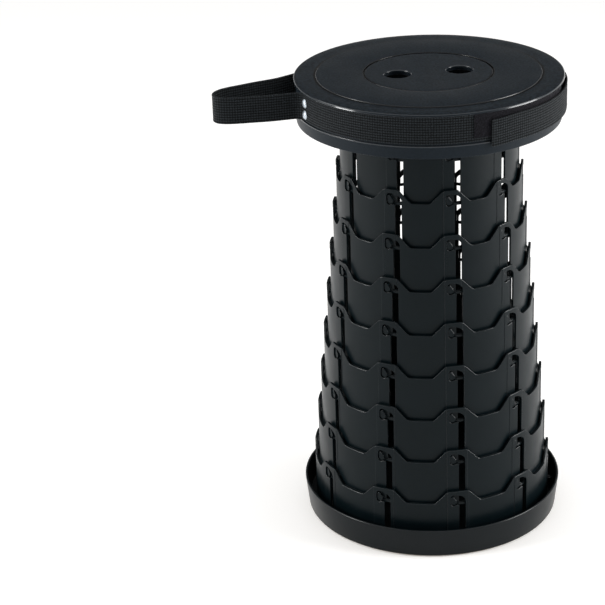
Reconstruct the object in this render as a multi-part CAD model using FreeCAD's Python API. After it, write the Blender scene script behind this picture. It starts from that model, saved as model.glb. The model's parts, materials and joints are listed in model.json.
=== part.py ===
# Collapsible telescopic stool: a round seat on nine nested scalloped rings that stand in a base tray.
# The stool stands extended. The origin is on the floor under its centre, +Z is up, -Y is its front.
import FreeCAD
import Part
import math
import os

# Stages: every ring hangs on the studs of the next smaller one, and all share these sizes.
RING_COUNT = 9
RING_HEIGHT = 58.2
STAGE_TRAVEL = 42.5
SEAT_TRAVEL = 41.3
RING_STEP = 4.0
RING_WALL = 2.4
STOP_GAP = 0.4

# Columns: ten crests and ten valleys round each ring, one slot, pocket and stud under each crest.
COLUMN_COUNT = 10
CREST_AZIMUTH = 12.6
CREST_DROP = 12.5
CREST_SLOPE_WIDTH = 12.2
VALLEY_SHARE = 0.565
POCKET_AZIMUTH = 10.5
POCKET_TURN_PER_RING = 0.17
SLOT_WIDTH = 6.4
SLOT_OFFSET = 8.5
SLOT_BAND = 2.4
POCKET_ROOF_DROP = 3.8
POCKET_FLOOR_DROP = 15.4
POCKET_LEDGE_RISE = 0.9
ROOF_END_DROP = 11.0
ROOF_FACETS = 4
CUP_FACETS = 3

# Studs, the keyway that each runs in behind the pocket, and the guide rim at a ring's foot.
STUD_WIDTH = 5.6
STUD_HEIGHT = 9.2
STUD_SETBACK = 1.3
STUD_RISE = 0.6
KEYWAY_SKIN = 0.9
STUD_ROOT = 0.8
RIM_CLEARANCE = 0.4
RIM_HEIGHT = 2.2

# Base tray.
FOOT_HEIGHT = 1.2
FOOT_WIDTH = 12.0
FOOT_LENGTH = 26.0
FOOT_AZIMUTH = 3.4
FOOT_INSET = 2.6
TRAY_FLOOR = 3.0
TRAY_FLOOR_TOP = 7.3
TRAY_TOP = 30.0
TRAY_OVERHANG = 1.2
TRAY_FLARE = 3.4
TRAY_WALL = 2.4
TRAY_EDGE = 1.0
TRAY_RIB = 1.8
RIBS_PER_COLUMN = 2
TRAY_HUB_RADIUS = 40.0
TRAY_BELT_RADIUS = 84.0

# Seat.
SEAT_RADIUS = 127.0
RING_SETBACK = 9.6
SEAT_PLATE = 2.4
PLATEAU_SETBACK = 20.6
PLATEAU_RISE = 0.6
RIM_DEPTH = 3.0
RIM_ROLL_WIDTH = 4.6
CHANNEL_HEIGHT = 26.8
CHANNEL_DEPTH = 2.4
SIDE_WALL = 2.2
LIP_SETBACK = 1.0
LIP_HEIGHT = 1.2
SKIRT_SETBACK = 1.6
SKIRT_DEPTH = 42.8
SKIRT_WALL = 2.0
SKIRT_TRAY_CLEARANCE = 0.5
COLLAR_FLANGE_RADIUS = 46.0
COLLAR_FLANGE = 2.4

# Centre lid and its finger holes.
LID_RADIUS = 60.5
LID_THICKNESS = 2.4
LID_GAP = 0.5
LID_DISH_RADIUS = 54.0
LID_DISH_DEPTH = 0.3
LID_EDGE_CHAMFER = 0.5
LID_SHELF = 2.4
FINGER_HOLE_RADIUS = 12.0
FINGER_HOLE_OFFSET = 29.5
FINGER_HOLE_AZIMUTH = 101.5
FINGER_HOLE_BEVEL = 1.3
SHELF_HOLE_MARGIN = 0.8

# Screws that hold the collar to the seat and the outer ring to the tray.
SCREW_COUNT = 5
SCREW_RADIUS = 1.5
SCREW_HEAD_RADIUS = 2.9
SCREW_HEAD_HEIGHT = 1.5
SCREW_LENGTH = 11.0
SCREW_BOSS_RADIUS = 3.3
SCREW_BOSS_WALL = 1.2
SEAT_SCREW_CIRCLE = 53.0
SEAT_SCREW_AZIMUTH = 20.0
BASE_BOSS_HEIGHT = 9.5
SCREW_SIDES = 12
HOLE_CLEARANCE = 0.1

# Webbing strap round the seat, with a hand loop at the left and an overlap at the right front.
STRAP_WIDTH = 26.2
STRAP_THICKNESS = 1.6
STRAP_CLEARANCE = 0.1
LAYER_GAP = 0.05
FRONT_BAND_START = -57.0
FRONT_BAND_END = 74.0
REAR_BAND_START = -99.0
REAR_BAND_END = -334.2
LAP_START = -262.0
LAP_RAMP = 14.0
PATCH_START = 18.4
PATCH_END = 70.0
LOOP_PATCH_THICKNESS = 0.7
HOOK_PATCH_THICKNESS = 0.5
HOOK_PATCH_SETBACK = 9.0
PATCH_MARGIN = 1.2

# Route of the loop's middle line in plan as (reach beyond the channel, azimuth), from the riveted
# end out to the hand hold and back.
LOOP_ROUTE = [
    (5.6, -67.8),
    (13.6, -68.5),
    (30.7, -69.1),
    (51.8, -70.3),
    (72.8, -71.3),
    (83.4, -73.1),
    (84.3, -75.9),
    (75.9, -78.5),
    (55.6, -81.1),
    (34.2, -84.4),
    (17.5, -87.9),
    (7.3, -92.2),
]

# Two domed rivets that hold the strap's front end, with washers inside the wall.
RIVET_AZIMUTH = -63.6
RIVET_DEPTHS = (11.6, 22.5)
RIVET_HEAD_RADIUS = 4.3
RIVET_HEAD_HEIGHT = 2.2
RIVET_SHANK_RADIUS = 1.9
WASHER_RADIUS = 4.2
WASHER_THICKNESS = 0.8

UP = FreeCAD.Vector(0, 0, 1)
ORIGIN = FreeCAD.Vector(0, 0, 0)
PITCH_ANGLE = 360.0 / COLUMN_COUNT
SLOT_HALF = SLOT_WIDTH / 2
STUD_HALF = STUD_WIDTH / 2

# Radii that follow from the seat's; its skirt folds down inside the tray's wall.
OUTER_RING_RADIUS = SEAT_RADIUS - RING_SETBACK
TRAY_TOP_RADIUS = SEAT_RADIUS + TRAY_OVERHANG
TRAY_BOTTOM_RADIUS = TRAY_TOP_RADIUS - TRAY_FLARE
CHANNEL_RADIUS = SEAT_RADIUS - CHANNEL_DEPTH
LIP_RADIUS = SEAT_RADIUS - LIP_SETBACK
PLATEAU_RADIUS = SEAT_RADIUS - PLATEAU_SETBACK
SKIRT_TOP_RADIUS = SEAT_RADIUS - SKIRT_SETBACK

# Levels that follow from the sizes above.
STOP_LEVEL = TRAY_FLOOR_TOP + STOP_GAP
COLLAR_BOTTOM = STOP_LEVEL + (RING_COUNT - 1) * STAGE_TRAVEL + SEAT_TRAVEL
SEAT_UNDERSIDE = COLLAR_BOTTOM + RING_HEIGHT + STOP_GAP
SEAT_TOP = SEAT_UNDERSIDE + SEAT_PLATE
CHANNEL_TOP = SEAT_TOP - RIM_DEPTH
CHANNEL_BOTTOM = CHANNEL_TOP - CHANNEL_HEIGHT
STRAP_BOTTOM = CHANNEL_BOTTOM + (CHANNEL_HEIGHT - STRAP_WIDTH) / 2
SHELF_TOP = SEAT_TOP - LID_THICKNESS
SHELF_BOTTOM = SHELF_TOP - LID_SHELF
FOLDED_SKIRT_FOOT = SEAT_TOP - SKIRT_DEPTH - (RING_COUNT - 1) * STAGE_TRAVEL - SEAT_TRAVEL


def vector(x, y, z=0.0):
    return FreeCAD.Vector(x, y, z)


def plan_point(radius, azimuth, z=0.0):
    """A point at a radius and an azimuth, which turns from the front (-Y) towards +X."""
    turn = math.radians(azimuth)
    return vector(radius * math.sin(turn), -radius * math.cos(turn), z)


def ring_radius(index):
    """Outer radius of a ring over its column pads; index 0 is the seat's own collar."""
    return OUTER_RING_RADIUS - (RING_COUNT - index) * RING_STEP


def ring_bottom(index):
    """Level of a ring's foot with the stool extended."""
    return STOP_LEVEL + (RING_COUNT - index) * STAGE_TRAVEL


def pocket_azimuth(index):
    """Azimuth of the first pocket of a ring, which is that of the studs on the ring inside it."""
    return POCKET_AZIMUTH + (RING_COUNT - index) * POCKET_TURN_PER_RING


def tube(outer, inner, height, z):
    base = vector(0, 0, z)
    return Part.makeCylinder(outer, height, base).cut(Part.makeCylinder(inner, height, base))


def revolve(points):
    """A closed profile of (radius, level) points, turned round the stool's axis."""
    wire = Part.makePolygon([vector(r, 0, z) for r, z in points + points[:1]])
    return Part.Face(wire).revolve(ORIGIN, UP, 360)


def radial_prism(face, start, length, azimuth):
    """Carries a face drawn in (across, up) outwards from a radius and turns it to an azimuth."""
    solid = face.extrude(vector(0, -length, 0))
    solid.translate(vector(0, -start, 0))
    solid.rotate(ORIGIN, UP, azimuth)
    return solid


def flat_face(edges):
    return Part.Face(Part.Wire(edges))


def line(a, b):
    return Part.LineSegment(vector(a[0], 0, a[1]), vector(b[0], 0, b[1])).toShape()


def polyline(points):
    return [line(a, b) for a, b in zip(points, points[1:])]


def outline_face(corners):
    return flat_face(polyline(corners + corners[:1]))


def quarter(centre, reach, start, facets):
    """Corners of a quarter turn about a centre, which reaches a half width and a half height from it."""
    turns = [math.radians(start + 90.0 * k / facets) for k in range(facets + 1)]
    return [(centre[0] + reach[0] * math.cos(t), centre[1] + reach[1] * math.sin(t)) for t in turns]


def round_columns(make, first_azimuth):
    """Ten copies of a tool, one for each column."""
    return [make(first_azimuth + k * PITCH_ANGLE) for k in range(COLUMN_COUNT)]


def opening_face(crest_top, slot_bottom):
    """Pocket with a rounded cup at the left and a slot at the right under one falling roof."""
    slot_left = SLOT_OFFSET - SLOT_HALF
    slot_right = SLOT_OFFSET + SLOT_HALF
    floor = crest_top - POCKET_FLOOR_DROP
    ledge = floor + POCKET_LEDGE_RISE
    ledge_start = SLOT_HALF * math.sin(math.acos(1 - POCKET_LEDGE_RISE / SLOT_HALF))
    roof = crest_top - POCKET_ROOF_DROP
    roof_end = crest_top - ROOF_END_DROP
    corner = (SLOT_HALF, SLOT_HALF)
    falling = quarter((0, roof_end), (slot_right, roof - roof_end), 0, ROOF_FACETS)
    shoulder = quarter((0, roof - SLOT_HALF), corner, 90, CUP_FACETS)
    cup = quarter((0, floor + SLOT_HALF), corner, 180, CUP_FACETS)
    foot = [(slot_left, slot_bottom), (slot_right, slot_bottom)]
    return outline_face(foot + falling + shoulder[1:] + cup + [(ledge_start, ledge), (slot_left, ledge)])


def stud_face(foot):
    """Drop shape: a round foot, an upright left side and a long slant down from the tip at the left."""
    centre = (0, foot + STUD_HALF)
    tip = foot + STUD_HEIGHT
    shoulder = STUD_HALF * 0.6
    half = (STUD_HALF, STUD_HALF)
    under = quarter(centre, half, 180, CUP_FACETS) + quarter(centre, half, 270, CUP_FACETS)[1:]
    over = [
        (STUD_HALF, centre[1] + shoulder),
        (-shoulder * 0.3, tip),
        (-shoulder, tip - shoulder * 0.2),
        (-STUD_HALF, centre[1] + STUD_HALF),
    ]
    return outline_face(under + over)


def studs(index, bottom, rise):
    """Ten studs at a ring's foot, which stand in the pockets of the next ring out."""
    root = ring_radius(index) - STUD_ROOT
    length = ring_radius(index + 1) - STUD_SETBACK - root
    face = stud_face(bottom + rise)
    return round_columns(lambda a: radial_prism(face, root, length, a), pocket_azimuth(index + 1))


def foot_rim(index, bottom):
    """Guide rim at a ring's foot that runs inside the next ring out."""
    outer = ring_radius(index + 1) - RING_WALL - RIM_CLEARANCE
    return tube(outer, ring_radius(index) - RING_WALL, RIM_HEIGHT, bottom)


def valley_cutters(radius, crest_top):
    """Trapezoids that leave the crests between them."""
    free = 2 * math.pi * radius / COLUMN_COUNT - 2 * CREST_SLOPE_WIDTH
    half = free * VALLEY_SHARE / 2
    over = 1.0
    spread = CREST_SLOPE_WIDTH * (CREST_DROP + over) / CREST_DROP
    low = crest_top - CREST_DROP
    high = crest_top + over
    face = outline_face([(-half, low), (half, low), (half + spread, high), (-half - spread, high)])
    start = radius - 2 * RING_WALL
    first = CREST_AZIMUTH - PITCH_ANGLE / 2
    return round_columns(lambda a: radial_prism(face, start, 4 * RING_WALL, a), first)


def keyway_cutters(radius, bottom, top, azimuth):
    """Grooves in a ring's inner face, from its pockets down, in which the studs travel."""
    start = radius - 2 * RING_WALL
    depth = radius - KEYWAY_SKIN - start
    below = bottom - STOP_GAP
    face = outline_face([(-SLOT_HALF, below), (SLOT_HALF, below), (SLOT_HALF, top), (-SLOT_HALF, top)])
    return round_columns(lambda a: radial_prism(face, start, depth, a), azimuth)


def slotted_wall(index, foot, bottom):
    """A ring's scalloped wall from its foot up, with the openings and keyways of its ten columns."""
    radius = ring_radius(index)
    crest_top = bottom + RING_HEIGHT
    wall = tube(radius, radius - RING_WALL, crest_top - foot, foot)
    azimuth = pocket_azimuth(index)
    face = opening_face(crest_top, bottom + SLOT_BAND)
    start = radius - 2 * RING_WALL
    openings = round_columns(lambda a: radial_prism(face, start, 4 * RING_WALL, a), azimuth)
    keyways = keyway_cutters(radius, foot, crest_top - POCKET_FLOOR_DROP + SLOT_HALF, azimuth)
    return wall.cut(valley_cutters(radius, crest_top)).cut(openings + keyways)


def moving_ring(index):
    """One of the eight rings that slide: slotted wall, guide rim and ten studs."""
    bottom = ring_bottom(index)
    radius = ring_radius(index)
    rim = foot_rim(index, bottom)
    lugs = studs(index, bottom, STUD_RISE)
    keyways = keyway_cutters(radius, bottom, bottom + RING_HEIGHT / 2, pocket_azimuth(index))
    return slotted_wall(index, bottom, bottom).fuse([rim] + lugs).cut(keyways).removeSplitter()


def screw_places(circle, azimuth, z):
    step = 360.0 / SCREW_COUNT
    return [plan_point(circle, azimuth + k * step, z) for k in range(SCREW_COUNT)]


def base_screw_circle():
    """The bosses stand against the outside of the outer ring."""
    return ring_radius(RING_COUNT) + SCREW_BOSS_RADIUS - SCREW_BOSS_WALL


def base_ring():
    """The outermost ring, fixed in the tray, with screw bosses at its foot and no studs."""
    wall = slotted_wall(RING_COUNT, TRAY_FLOOR_TOP, ring_bottom(RING_COUNT))
    places = base_screw_places(TRAY_FLOOR_TOP)
    bosses = [Part.makeCylinder(SCREW_BOSS_RADIUS, BASE_BOSS_HEIGHT, p) for p in places]
    inside = Part.makeCylinder(ring_radius(RING_COUNT) - RING_WALL / 2, RING_HEIGHT, vector(0, 0, 0))
    bosses = [b.cut(inside) for b in bosses]
    bore = SCREW_RADIUS + HOLE_CLEARANCE / 2
    holes = [drum(bore, bore, SCREW_LENGTH, p, 1) for p in base_screw_places(base_screw_level())]
    return wall.fuse(bosses).cut(holes).removeSplitter()


def base_screw_places(z):
    """Screw axes midway between two foot pads, clear of the slots and of the floor's ribs."""
    return screw_places(base_screw_circle(), FOOT_AZIMUTH + PITCH_ANGLE / 2, z)


def base_screw_level():
    """Underside of the tray floor, where the base screws' heads sit sunk."""
    return TRAY_FLOOR_TOP - TRAY_FLOOR


def drum(foot_radius, head_radius, height, place, side):
    """A many-sided frustum that stands on a place, or hangs from it where the side is -1."""
    turns = [2 * math.pi * k / SCREW_SIDES for k in range(SCREW_SIDES + 1)]

    def ring(radius, z):
        return Part.makePolygon([vector(radius * math.cos(t), radius * math.sin(t), z) for t in turns])

    solid = Part.makeLoft([ring(foot_radius, 0), ring(head_radius, side * height)], True, True)
    solid.translate(place)
    return solid


def screw(place, side):
    """Countersunk screw; its head lies at the place given."""
    head = drum(SCREW_HEAD_RADIUS, SCREW_RADIUS, SCREW_HEAD_HEIGHT, place, side)
    shank = drum(SCREW_RADIUS, SCREW_RADIUS, SCREW_LENGTH - HOLE_CLEARANCE, place, side)
    return head.fuse(shank).removeSplitter()


def countersink(place, side):
    """Hole that takes one screw, with the head's cone."""
    gap = HOLE_CLEARANCE / 2
    cone = drum(SCREW_HEAD_RADIUS + gap, SCREW_RADIUS + gap, SCREW_HEAD_HEIGHT, place, side)
    return cone.fuse(drum(SCREW_RADIUS + gap, SCREW_RADIUS + gap, SCREW_LENGTH, place, side))


def base_screws():
    return Part.makeCompound([screw(p, 1) for p in base_screw_places(base_screw_level())])


def tray_radius(z):
    """Outer radius of the tray's flared wall at a level."""
    return TRAY_BOTTOM_RADIUS + (z - FOOT_HEIGHT) * TRAY_FLARE / (TRAY_TOP - FOOT_HEIGHT)


def base_tray():
    """Floor with a flared wall, a rounded rim, and ribs and a belt under the floor."""
    floor_bottom = TRAY_FLOOR_TOP - TRAY_FLOOR
    edge = TRAY_EDGE
    inner_foot = TRAY_BOTTOM_RADIUS - TRAY_WALL
    outline = [
        (0, floor_bottom),
        (inner_foot, floor_bottom),
        (inner_foot, FOOT_HEIGHT),
        (TRAY_BOTTOM_RADIUS - edge, FOOT_HEIGHT),
        (tray_radius(FOOT_HEIGHT + edge), FOOT_HEIGHT + edge),
        (tray_radius(TRAY_TOP - edge), TRAY_TOP - edge),
        (TRAY_TOP_RADIUS - edge, TRAY_TOP),
        (TRAY_TOP_RADIUS - TRAY_WALL, TRAY_TOP),
        (tray_radius(TRAY_FLOOR_TOP) - TRAY_WALL, TRAY_FLOOR_TOP),
        (0, TRAY_FLOOR_TOP),
    ]
    body = revolve(outline)
    depth = floor_bottom - FOOT_HEIGHT
    rings = [tube(r + TRAY_RIB, r, depth, FOOT_HEIGHT) for r in (TRAY_HUB_RADIUS, TRAY_BELT_RADIUS)]
    reach = TRAY_BOTTOM_RADIUS - TRAY_WALL - TRAY_HUB_RADIUS
    start = TRAY_HUB_RADIUS + TRAY_RIB / 2
    spacing = PITCH_ANGLE / RIBS_PER_COLUMN
    ribs = []
    for k in range(COLUMN_COUNT * RIBS_PER_COLUMN):
        rib = Part.makeBox(TRAY_RIB, reach, depth, vector(-TRAY_RIB / 2, -start - reach, FOOT_HEIGHT))
        rib.rotate(ORIGIN, UP, FOOT_AZIMUTH + (k + 0.5) * spacing)
        ribs.append(rib)
    holes = [countersink(p, 1) for p in base_screw_places(floor_bottom)]
    return body.fuse(rings + ribs).cut(holes).removeSplitter()


def foot_pads():
    """Thin rubber pads under the tray's floor ribs, near its edge."""
    middle = TRAY_BOTTOM_RADIUS - FOOT_INSET - FOOT_WIDTH / 2
    angle = math.degrees(FOOT_LENGTH / middle)
    pads = []
    for k in range(COLUMN_COUNT):
        outer = Part.makeCylinder(middle + FOOT_WIDTH / 2, FOOT_HEIGHT, ORIGIN, UP, angle)
        pad = outer.cut(Part.makeCylinder(middle - FOOT_WIDTH / 2, FOOT_HEIGHT))
        pad.rotate(ORIGIN, UP, FOOT_AZIMUTH - angle / 2 + k * PITCH_ANGLE - 90)
        pads.append(pad)
    return Part.makeCompound(pads)


def seat_collar():
    """Inner tube of the seat: studs and guide rim at its foot, a screwed flange at its top."""
    radius = ring_radius(0)
    inner = radius - RING_WALL
    wall = tube(radius, inner, SEAT_UNDERSIDE - COLLAR_BOTTOM, COLLAR_BOTTOM)
    flange = tube(radius - RING_WALL / 2, COLLAR_FLANGE_RADIUS, COLLAR_FLANGE, SHELF_BOTTOM - COLLAR_FLANGE)
    raised = STUD_RISE + STAGE_TRAVEL - SEAT_TRAVEL
    rim = foot_rim(0, COLLAR_BOTTOM)
    lugs = studs(0, COLLAR_BOTTOM, raised)
    foot = SHELF_TOP - SCREW_LENGTH - SCREW_BOSS_WALL
    places = screw_places(SEAT_SCREW_CIRCLE, SEAT_SCREW_AZIMUTH, foot)
    bosses = [Part.makeCylinder(SCREW_BOSS_RADIUS, SHELF_BOTTOM - foot, p) for p in places]
    holes = [countersink(p, -1) for p in screw_places(SEAT_SCREW_CIRCLE, SEAT_SCREW_AZIMUTH, SHELF_TOP)]
    return wall.fuse([flange, rim] + lugs + bosses).cut(holes).removeSplitter()


def seat_screws():
    places = screw_places(SEAT_SCREW_CIRCLE, SEAT_SCREW_AZIMUTH, SHELF_TOP)
    return Part.makeCompound([screw(p, -1) for p in places])


def finger_holes(radius, z, height):
    centres = [plan_point(FINGER_HOLE_OFFSET, FINGER_HOLE_AZIMUTH + side, z) for side in (0, 180)]
    return [Part.makeCylinder(radius, height, c) for c in centres]


def finger_bevels():
    """Cones that break the top edges of the finger holes."""
    z = SEAT_TOP - LID_DISH_DEPTH - FINGER_HOLE_BEVEL
    centres = [plan_point(FINGER_HOLE_OFFSET, FINGER_HOLE_AZIMUTH + side, z) for side in (0, 180)]
    over = FINGER_HOLE_BEVEL * 2
    return [Part.makeCone(FINGER_HOLE_RADIUS, FINGER_HOLE_RADIUS + over, over, c) for c in centres]


def centre_lid():
    """Round lid with a dished middle and two bevelled finger holes."""
    edge = LID_EDGE_CHAMFER
    outline = [
        (0, SHELF_TOP),
        (LID_RADIUS, SHELF_TOP),
        (LID_RADIUS, SEAT_TOP - edge),
        (LID_RADIUS - edge, SEAT_TOP),
        (LID_DISH_RADIUS + edge, SEAT_TOP),
        (LID_DISH_RADIUS, SEAT_TOP - LID_DISH_DEPTH),
        (0, SEAT_TOP - LID_DISH_DEPTH),
    ]
    holes = finger_holes(FINGER_HOLE_RADIUS, SHELF_TOP, LID_THICKNESS)
    return revolve(outline).cut(holes + finger_bevels())


def rivet_frame(shape, radius, depth):
    """Turns a shape drawn along +X at the centre to a rivet's place on the seat's side."""
    shape.translate(vector(radius, 0, SEAT_TOP - depth))
    shape.rotate(ORIGIN, UP, RIVET_AZIMUTH - 90)
    return shape


def rivet_bores(radius):
    """Bores for the rivets through the strap and the side wall."""
    length = CHANNEL_RADIUS + 3 * STRAP_THICKNESS
    along = vector(1, 0, 0)
    start = CHANNEL_RADIUS - 2 * SIDE_WALL
    bores = []
    for depth in RIVET_DEPTHS:
        bore = Part.makeCylinder(radius, length - start, ORIGIN, along)
        bores.append(rivet_frame(bore, start, depth))
    return bores


def seat_shell():
    """Seat top with a raised plateau, a rolled rim, a strap channel, a lip and a deep skirt."""
    top = SEAT_TOP
    band = top - PLATEAU_RISE
    inner_side = CHANNEL_RADIUS - SIDE_WALL
    recess = LID_RADIUS + LID_GAP
    lip_bottom = CHANNEL_BOTTOM - LIP_HEIGHT
    skirt_bottom = top - SKIRT_DEPTH
    skirt_foot = tray_radius(FOLDED_SKIRT_FOOT) - TRAY_WALL - SKIRT_TRAY_CLEARANCE
    roll = RIM_ROLL_WIDTH
    outline = [
        (0, SHELF_BOTTOM),
        (recess, SHELF_BOTTOM),
        (recess + LID_SHELF, SEAT_UNDERSIDE),
        (inner_side - SIDE_WALL, SEAT_UNDERSIDE),
        (inner_side, SEAT_UNDERSIDE - SIDE_WALL),
        (inner_side, CHANNEL_BOTTOM),
        (SKIRT_TOP_RADIUS - SKIRT_WALL, lip_bottom - LIP_HEIGHT),
        (skirt_foot - SKIRT_WALL, skirt_bottom),
        (skirt_foot, skirt_bottom),
        (SKIRT_TOP_RADIUS, lip_bottom - LIP_HEIGHT),
        (LIP_RADIUS - LIP_HEIGHT / 2, lip_bottom),
        (LIP_RADIUS, lip_bottom + LIP_HEIGHT / 2),
        (LIP_RADIUS, CHANNEL_BOTTOM),
        (CHANNEL_RADIUS, CHANNEL_BOTTOM),
        (CHANNEL_RADIUS, CHANNEL_TOP),
        (SEAT_RADIUS, CHANNEL_TOP),
        (SEAT_RADIUS, band - roll * 0.29),
        (SEAT_RADIUS - roll * 0.2, band - roll * 0.1),
        (SEAT_RADIUS - roll * 0.6, band),
        (PLATEAU_RADIUS + PLATEAU_RISE, band),
        (PLATEAU_RADIUS, top),
        (recess, top),
        (recess, SHELF_TOP),
        (0, SHELF_TOP),
    ]
    holes = finger_holes(FINGER_HOLE_RADIUS + SHELF_HOLE_MARGIN, SHELF_BOTTOM, LID_SHELF)
    sinks = [countersink(p, -1) for p in screw_places(SEAT_SCREW_CIRCLE, SEAT_SCREW_AZIMUTH, SHELF_TOP)]
    bores = rivet_bores(RIVET_SHANK_RADIUS + HOLE_CLEARANCE / 2)
    return revolve(outline).cut(holes + sinks + bores)


def offset_points(points, distance):
    """Points moved sideways from a plan route by a distance, left of its direction for a positive one."""
    moved = []
    for k, point in enumerate(points):
        before = points[max(k - 1, 0)]
        after = points[min(k + 1, len(points) - 1)]
        along = after.sub(before)
        along.normalize()
        moved.append(vector(point.x - along.y * distance, point.y + along.x * distance))
    return moved


def smooth_edge(points):
    curve = Part.BSplineCurve()
    curve.interpolate(points)
    return curve.toShape()


def webbing(points, thickness, bottom, width):
    """A band of webbing on edge: its plan route given thickness and carried up by its width."""
    left = offset_points(points, thickness / 2)
    right = offset_points(points, -thickness / 2)
    ends = [Part.LineSegment(left[-1], right[-1]).toShape(), Part.LineSegment(right[0], left[0]).toShape()]
    face = Part.Face(Part.Wire([smooth_edge(left), ends[0], smooth_edge(right[::-1]), ends[1]]))
    solid = face.extrude(vector(0, 0, width))
    solid.translate(vector(0, 0, bottom))
    return solid


def arc_points(start, end, radius_at, step=3.0):
    """Plan points from one azimuth to another at a radius that may change on the way."""
    count = max(2, round(abs(end - start) / step))
    azimuths = [start + (end - start) * k / count for k in range(count + 1)]
    return [plan_point(radius_at(a), a) for a in azimuths]


def band_radius():
    """Middle of the strap where it lies in the channel."""
    return CHANNEL_RADIUS + STRAP_CLEARANCE + STRAP_THICKNESS / 2


def arc_band(start, end, inner, thickness, margin):
    """A closed band that follows the seat's side, set in from the strap's edges by a margin."""
    height = STRAP_WIDTH - 2 * margin
    bottom = STRAP_BOTTOM + margin
    outer = Part.makeCylinder(inner + thickness, height, vector(0, 0, bottom), UP, end - start)
    band = outer.cut(Part.makeCylinder(inner, height, vector(0, 0, bottom)))
    band.rotate(ORIGIN, UP, start - 90)
    return band


def strap_front_band():
    """Inner end of the strap, from the rivets round the front to under the overlap."""
    inner = CHANNEL_RADIUS + STRAP_CLEARANCE
    return arc_band(FRONT_BAND_START, FRONT_BAND_END, inner, STRAP_THICKNESS, 0)


def patch_inner():
    """Inner face of the fuzzy patch, on the outside of the front band."""
    return CHANNEL_RADIUS + STRAP_CLEARANCE + STRAP_THICKNESS + LAYER_GAP


def loop_patch():
    """Fuzzy fastener strip sewn on the outside of the front band."""
    return arc_band(PATCH_START, PATCH_END, patch_inner(), LOOP_PATCH_THICKNESS, PATCH_MARGIN)


def hook_patch():
    """Hooked fastener strip sewn on the inside of the outer end."""
    inner = patch_inner() + LOOP_PATCH_THICKNESS + LAYER_GAP
    start = PATCH_START + HOOK_PATCH_SETBACK
    return arc_band(start, PATCH_END, inner, HOOK_PATCH_THICKNESS, PATCH_MARGIN)


def arc_edge(radius, start, end):
    return Part.Arc(*[plan_point(radius, a) for a in (start, (start + end) / 2, end)]).toShape()


def strap_rear_band():
    """The strap from the loop round the back, which climbs over the patches to the outer end."""
    low = band_radius()
    climb = STRAP_THICKNESS + LOOP_PATCH_THICKNESS + HOOK_PATCH_THICKNESS + 3 * LAYER_GAP
    ramp_end = LAP_START - LAP_RAMP

    def radius_at(azimuth):
        share = (LAP_START - azimuth) / LAP_RAMP
        return low + climb * share * share * (3 - 2 * share)

    def side(offset):
        ramp = arc_points(LAP_START, ramp_end, lambda a: radius_at(a) + offset)
        return [
            arc_edge(low + offset, REAR_BAND_START, LAP_START),
            smooth_edge(ramp),
            arc_edge(low + climb + offset, ramp_end, REAR_BAND_END),
        ]

    def end(radius, azimuth):
        inner = plan_point(radius - STRAP_THICKNESS / 2, azimuth)
        outer = plan_point(radius + STRAP_THICKNESS / 2, azimuth)
        return Part.LineSegment(inner, outer).toShape()

    edges = side(-STRAP_THICKNESS / 2) + side(STRAP_THICKNESS / 2)
    edges += [end(low, REAR_BAND_START), end(low + climb, REAR_BAND_END)]
    face = Part.Face(Part.Wire(Part.__sortEdges__(edges)))
    solid = face.extrude(vector(0, 0, STRAP_WIDTH))
    solid.translate(vector(0, 0, STRAP_BOTTOM))
    return solid


def strap_loop():
    """Hand loop that stands out at the left between the rivets and the rear band."""
    low = band_radius()
    leave = RIVET_AZIMUTH - 2.2
    root = arc_points(FRONT_BAND_START, leave, lambda a: low, 1.5)
    back = arc_points(REAR_BAND_START + 2.0, REAR_BAND_START, lambda a: low, 1.0)
    route = root + [plan_point(CHANNEL_RADIUS + reach, a) for reach, a in LOOP_ROUTE] + back
    band = webbing(route, STRAP_THICKNESS, STRAP_BOTTOM, STRAP_WIDTH)
    return band.cut(rivet_bores(RIVET_SHANK_RADIUS + HOLE_CLEARANCE / 2))


def strap_rivets():
    """Domed heads on the strap's face, on shanks that end behind the washers."""
    seat = CHANNEL_RADIUS + STRAP_CLEARANCE + STRAP_THICKNESS + STRAP_CLEARANCE
    inside = CHANNEL_RADIUS - SIDE_WALL - WASHER_THICKNESS - 2 * HOLE_CLEARANCE
    along = vector(1, 0, 0)
    rivets = []
    dome = (RIVET_HEAD_RADIUS ** 2 + RIVET_HEAD_HEIGHT ** 2) / (2 * RIVET_HEAD_HEIGHT)
    for depth in RIVET_DEPTHS:
        ball = Part.makeSphere(dome, vector(RIVET_HEAD_HEIGHT - dome, 0, 0))
        head = ball.common(Part.makeCylinder(RIVET_HEAD_RADIUS, RIVET_HEAD_HEIGHT, ORIGIN, along))
        shank = Part.makeCylinder(RIVET_SHANK_RADIUS, seat - inside + 0.2, vector(inside - seat, 0, 0), along)
        rivets.append(rivet_frame(head.fuse(shank).removeSplitter(), seat, depth))
    return Part.makeCompound(rivets)


def rivet_washers():
    """Washers between the rivets' inner ends and the side wall."""
    outer = CHANNEL_RADIUS - SIDE_WALL - HOLE_CLEARANCE
    along = vector(1, 0, 0)
    washers = []
    for depth in RIVET_DEPTHS:
        disc = Part.makeCylinder(WASHER_RADIUS, WASHER_THICKNESS, ORIGIN, along)
        disc = disc.cut(Part.makeCylinder(RIVET_SHANK_RADIUS + HOLE_CLEARANCE / 2, WASHER_THICKNESS, ORIGIN, along))
        washers.append(rivet_frame(disc, outer - WASHER_THICKNESS, depth))
    return Part.makeCompound(washers)


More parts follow.
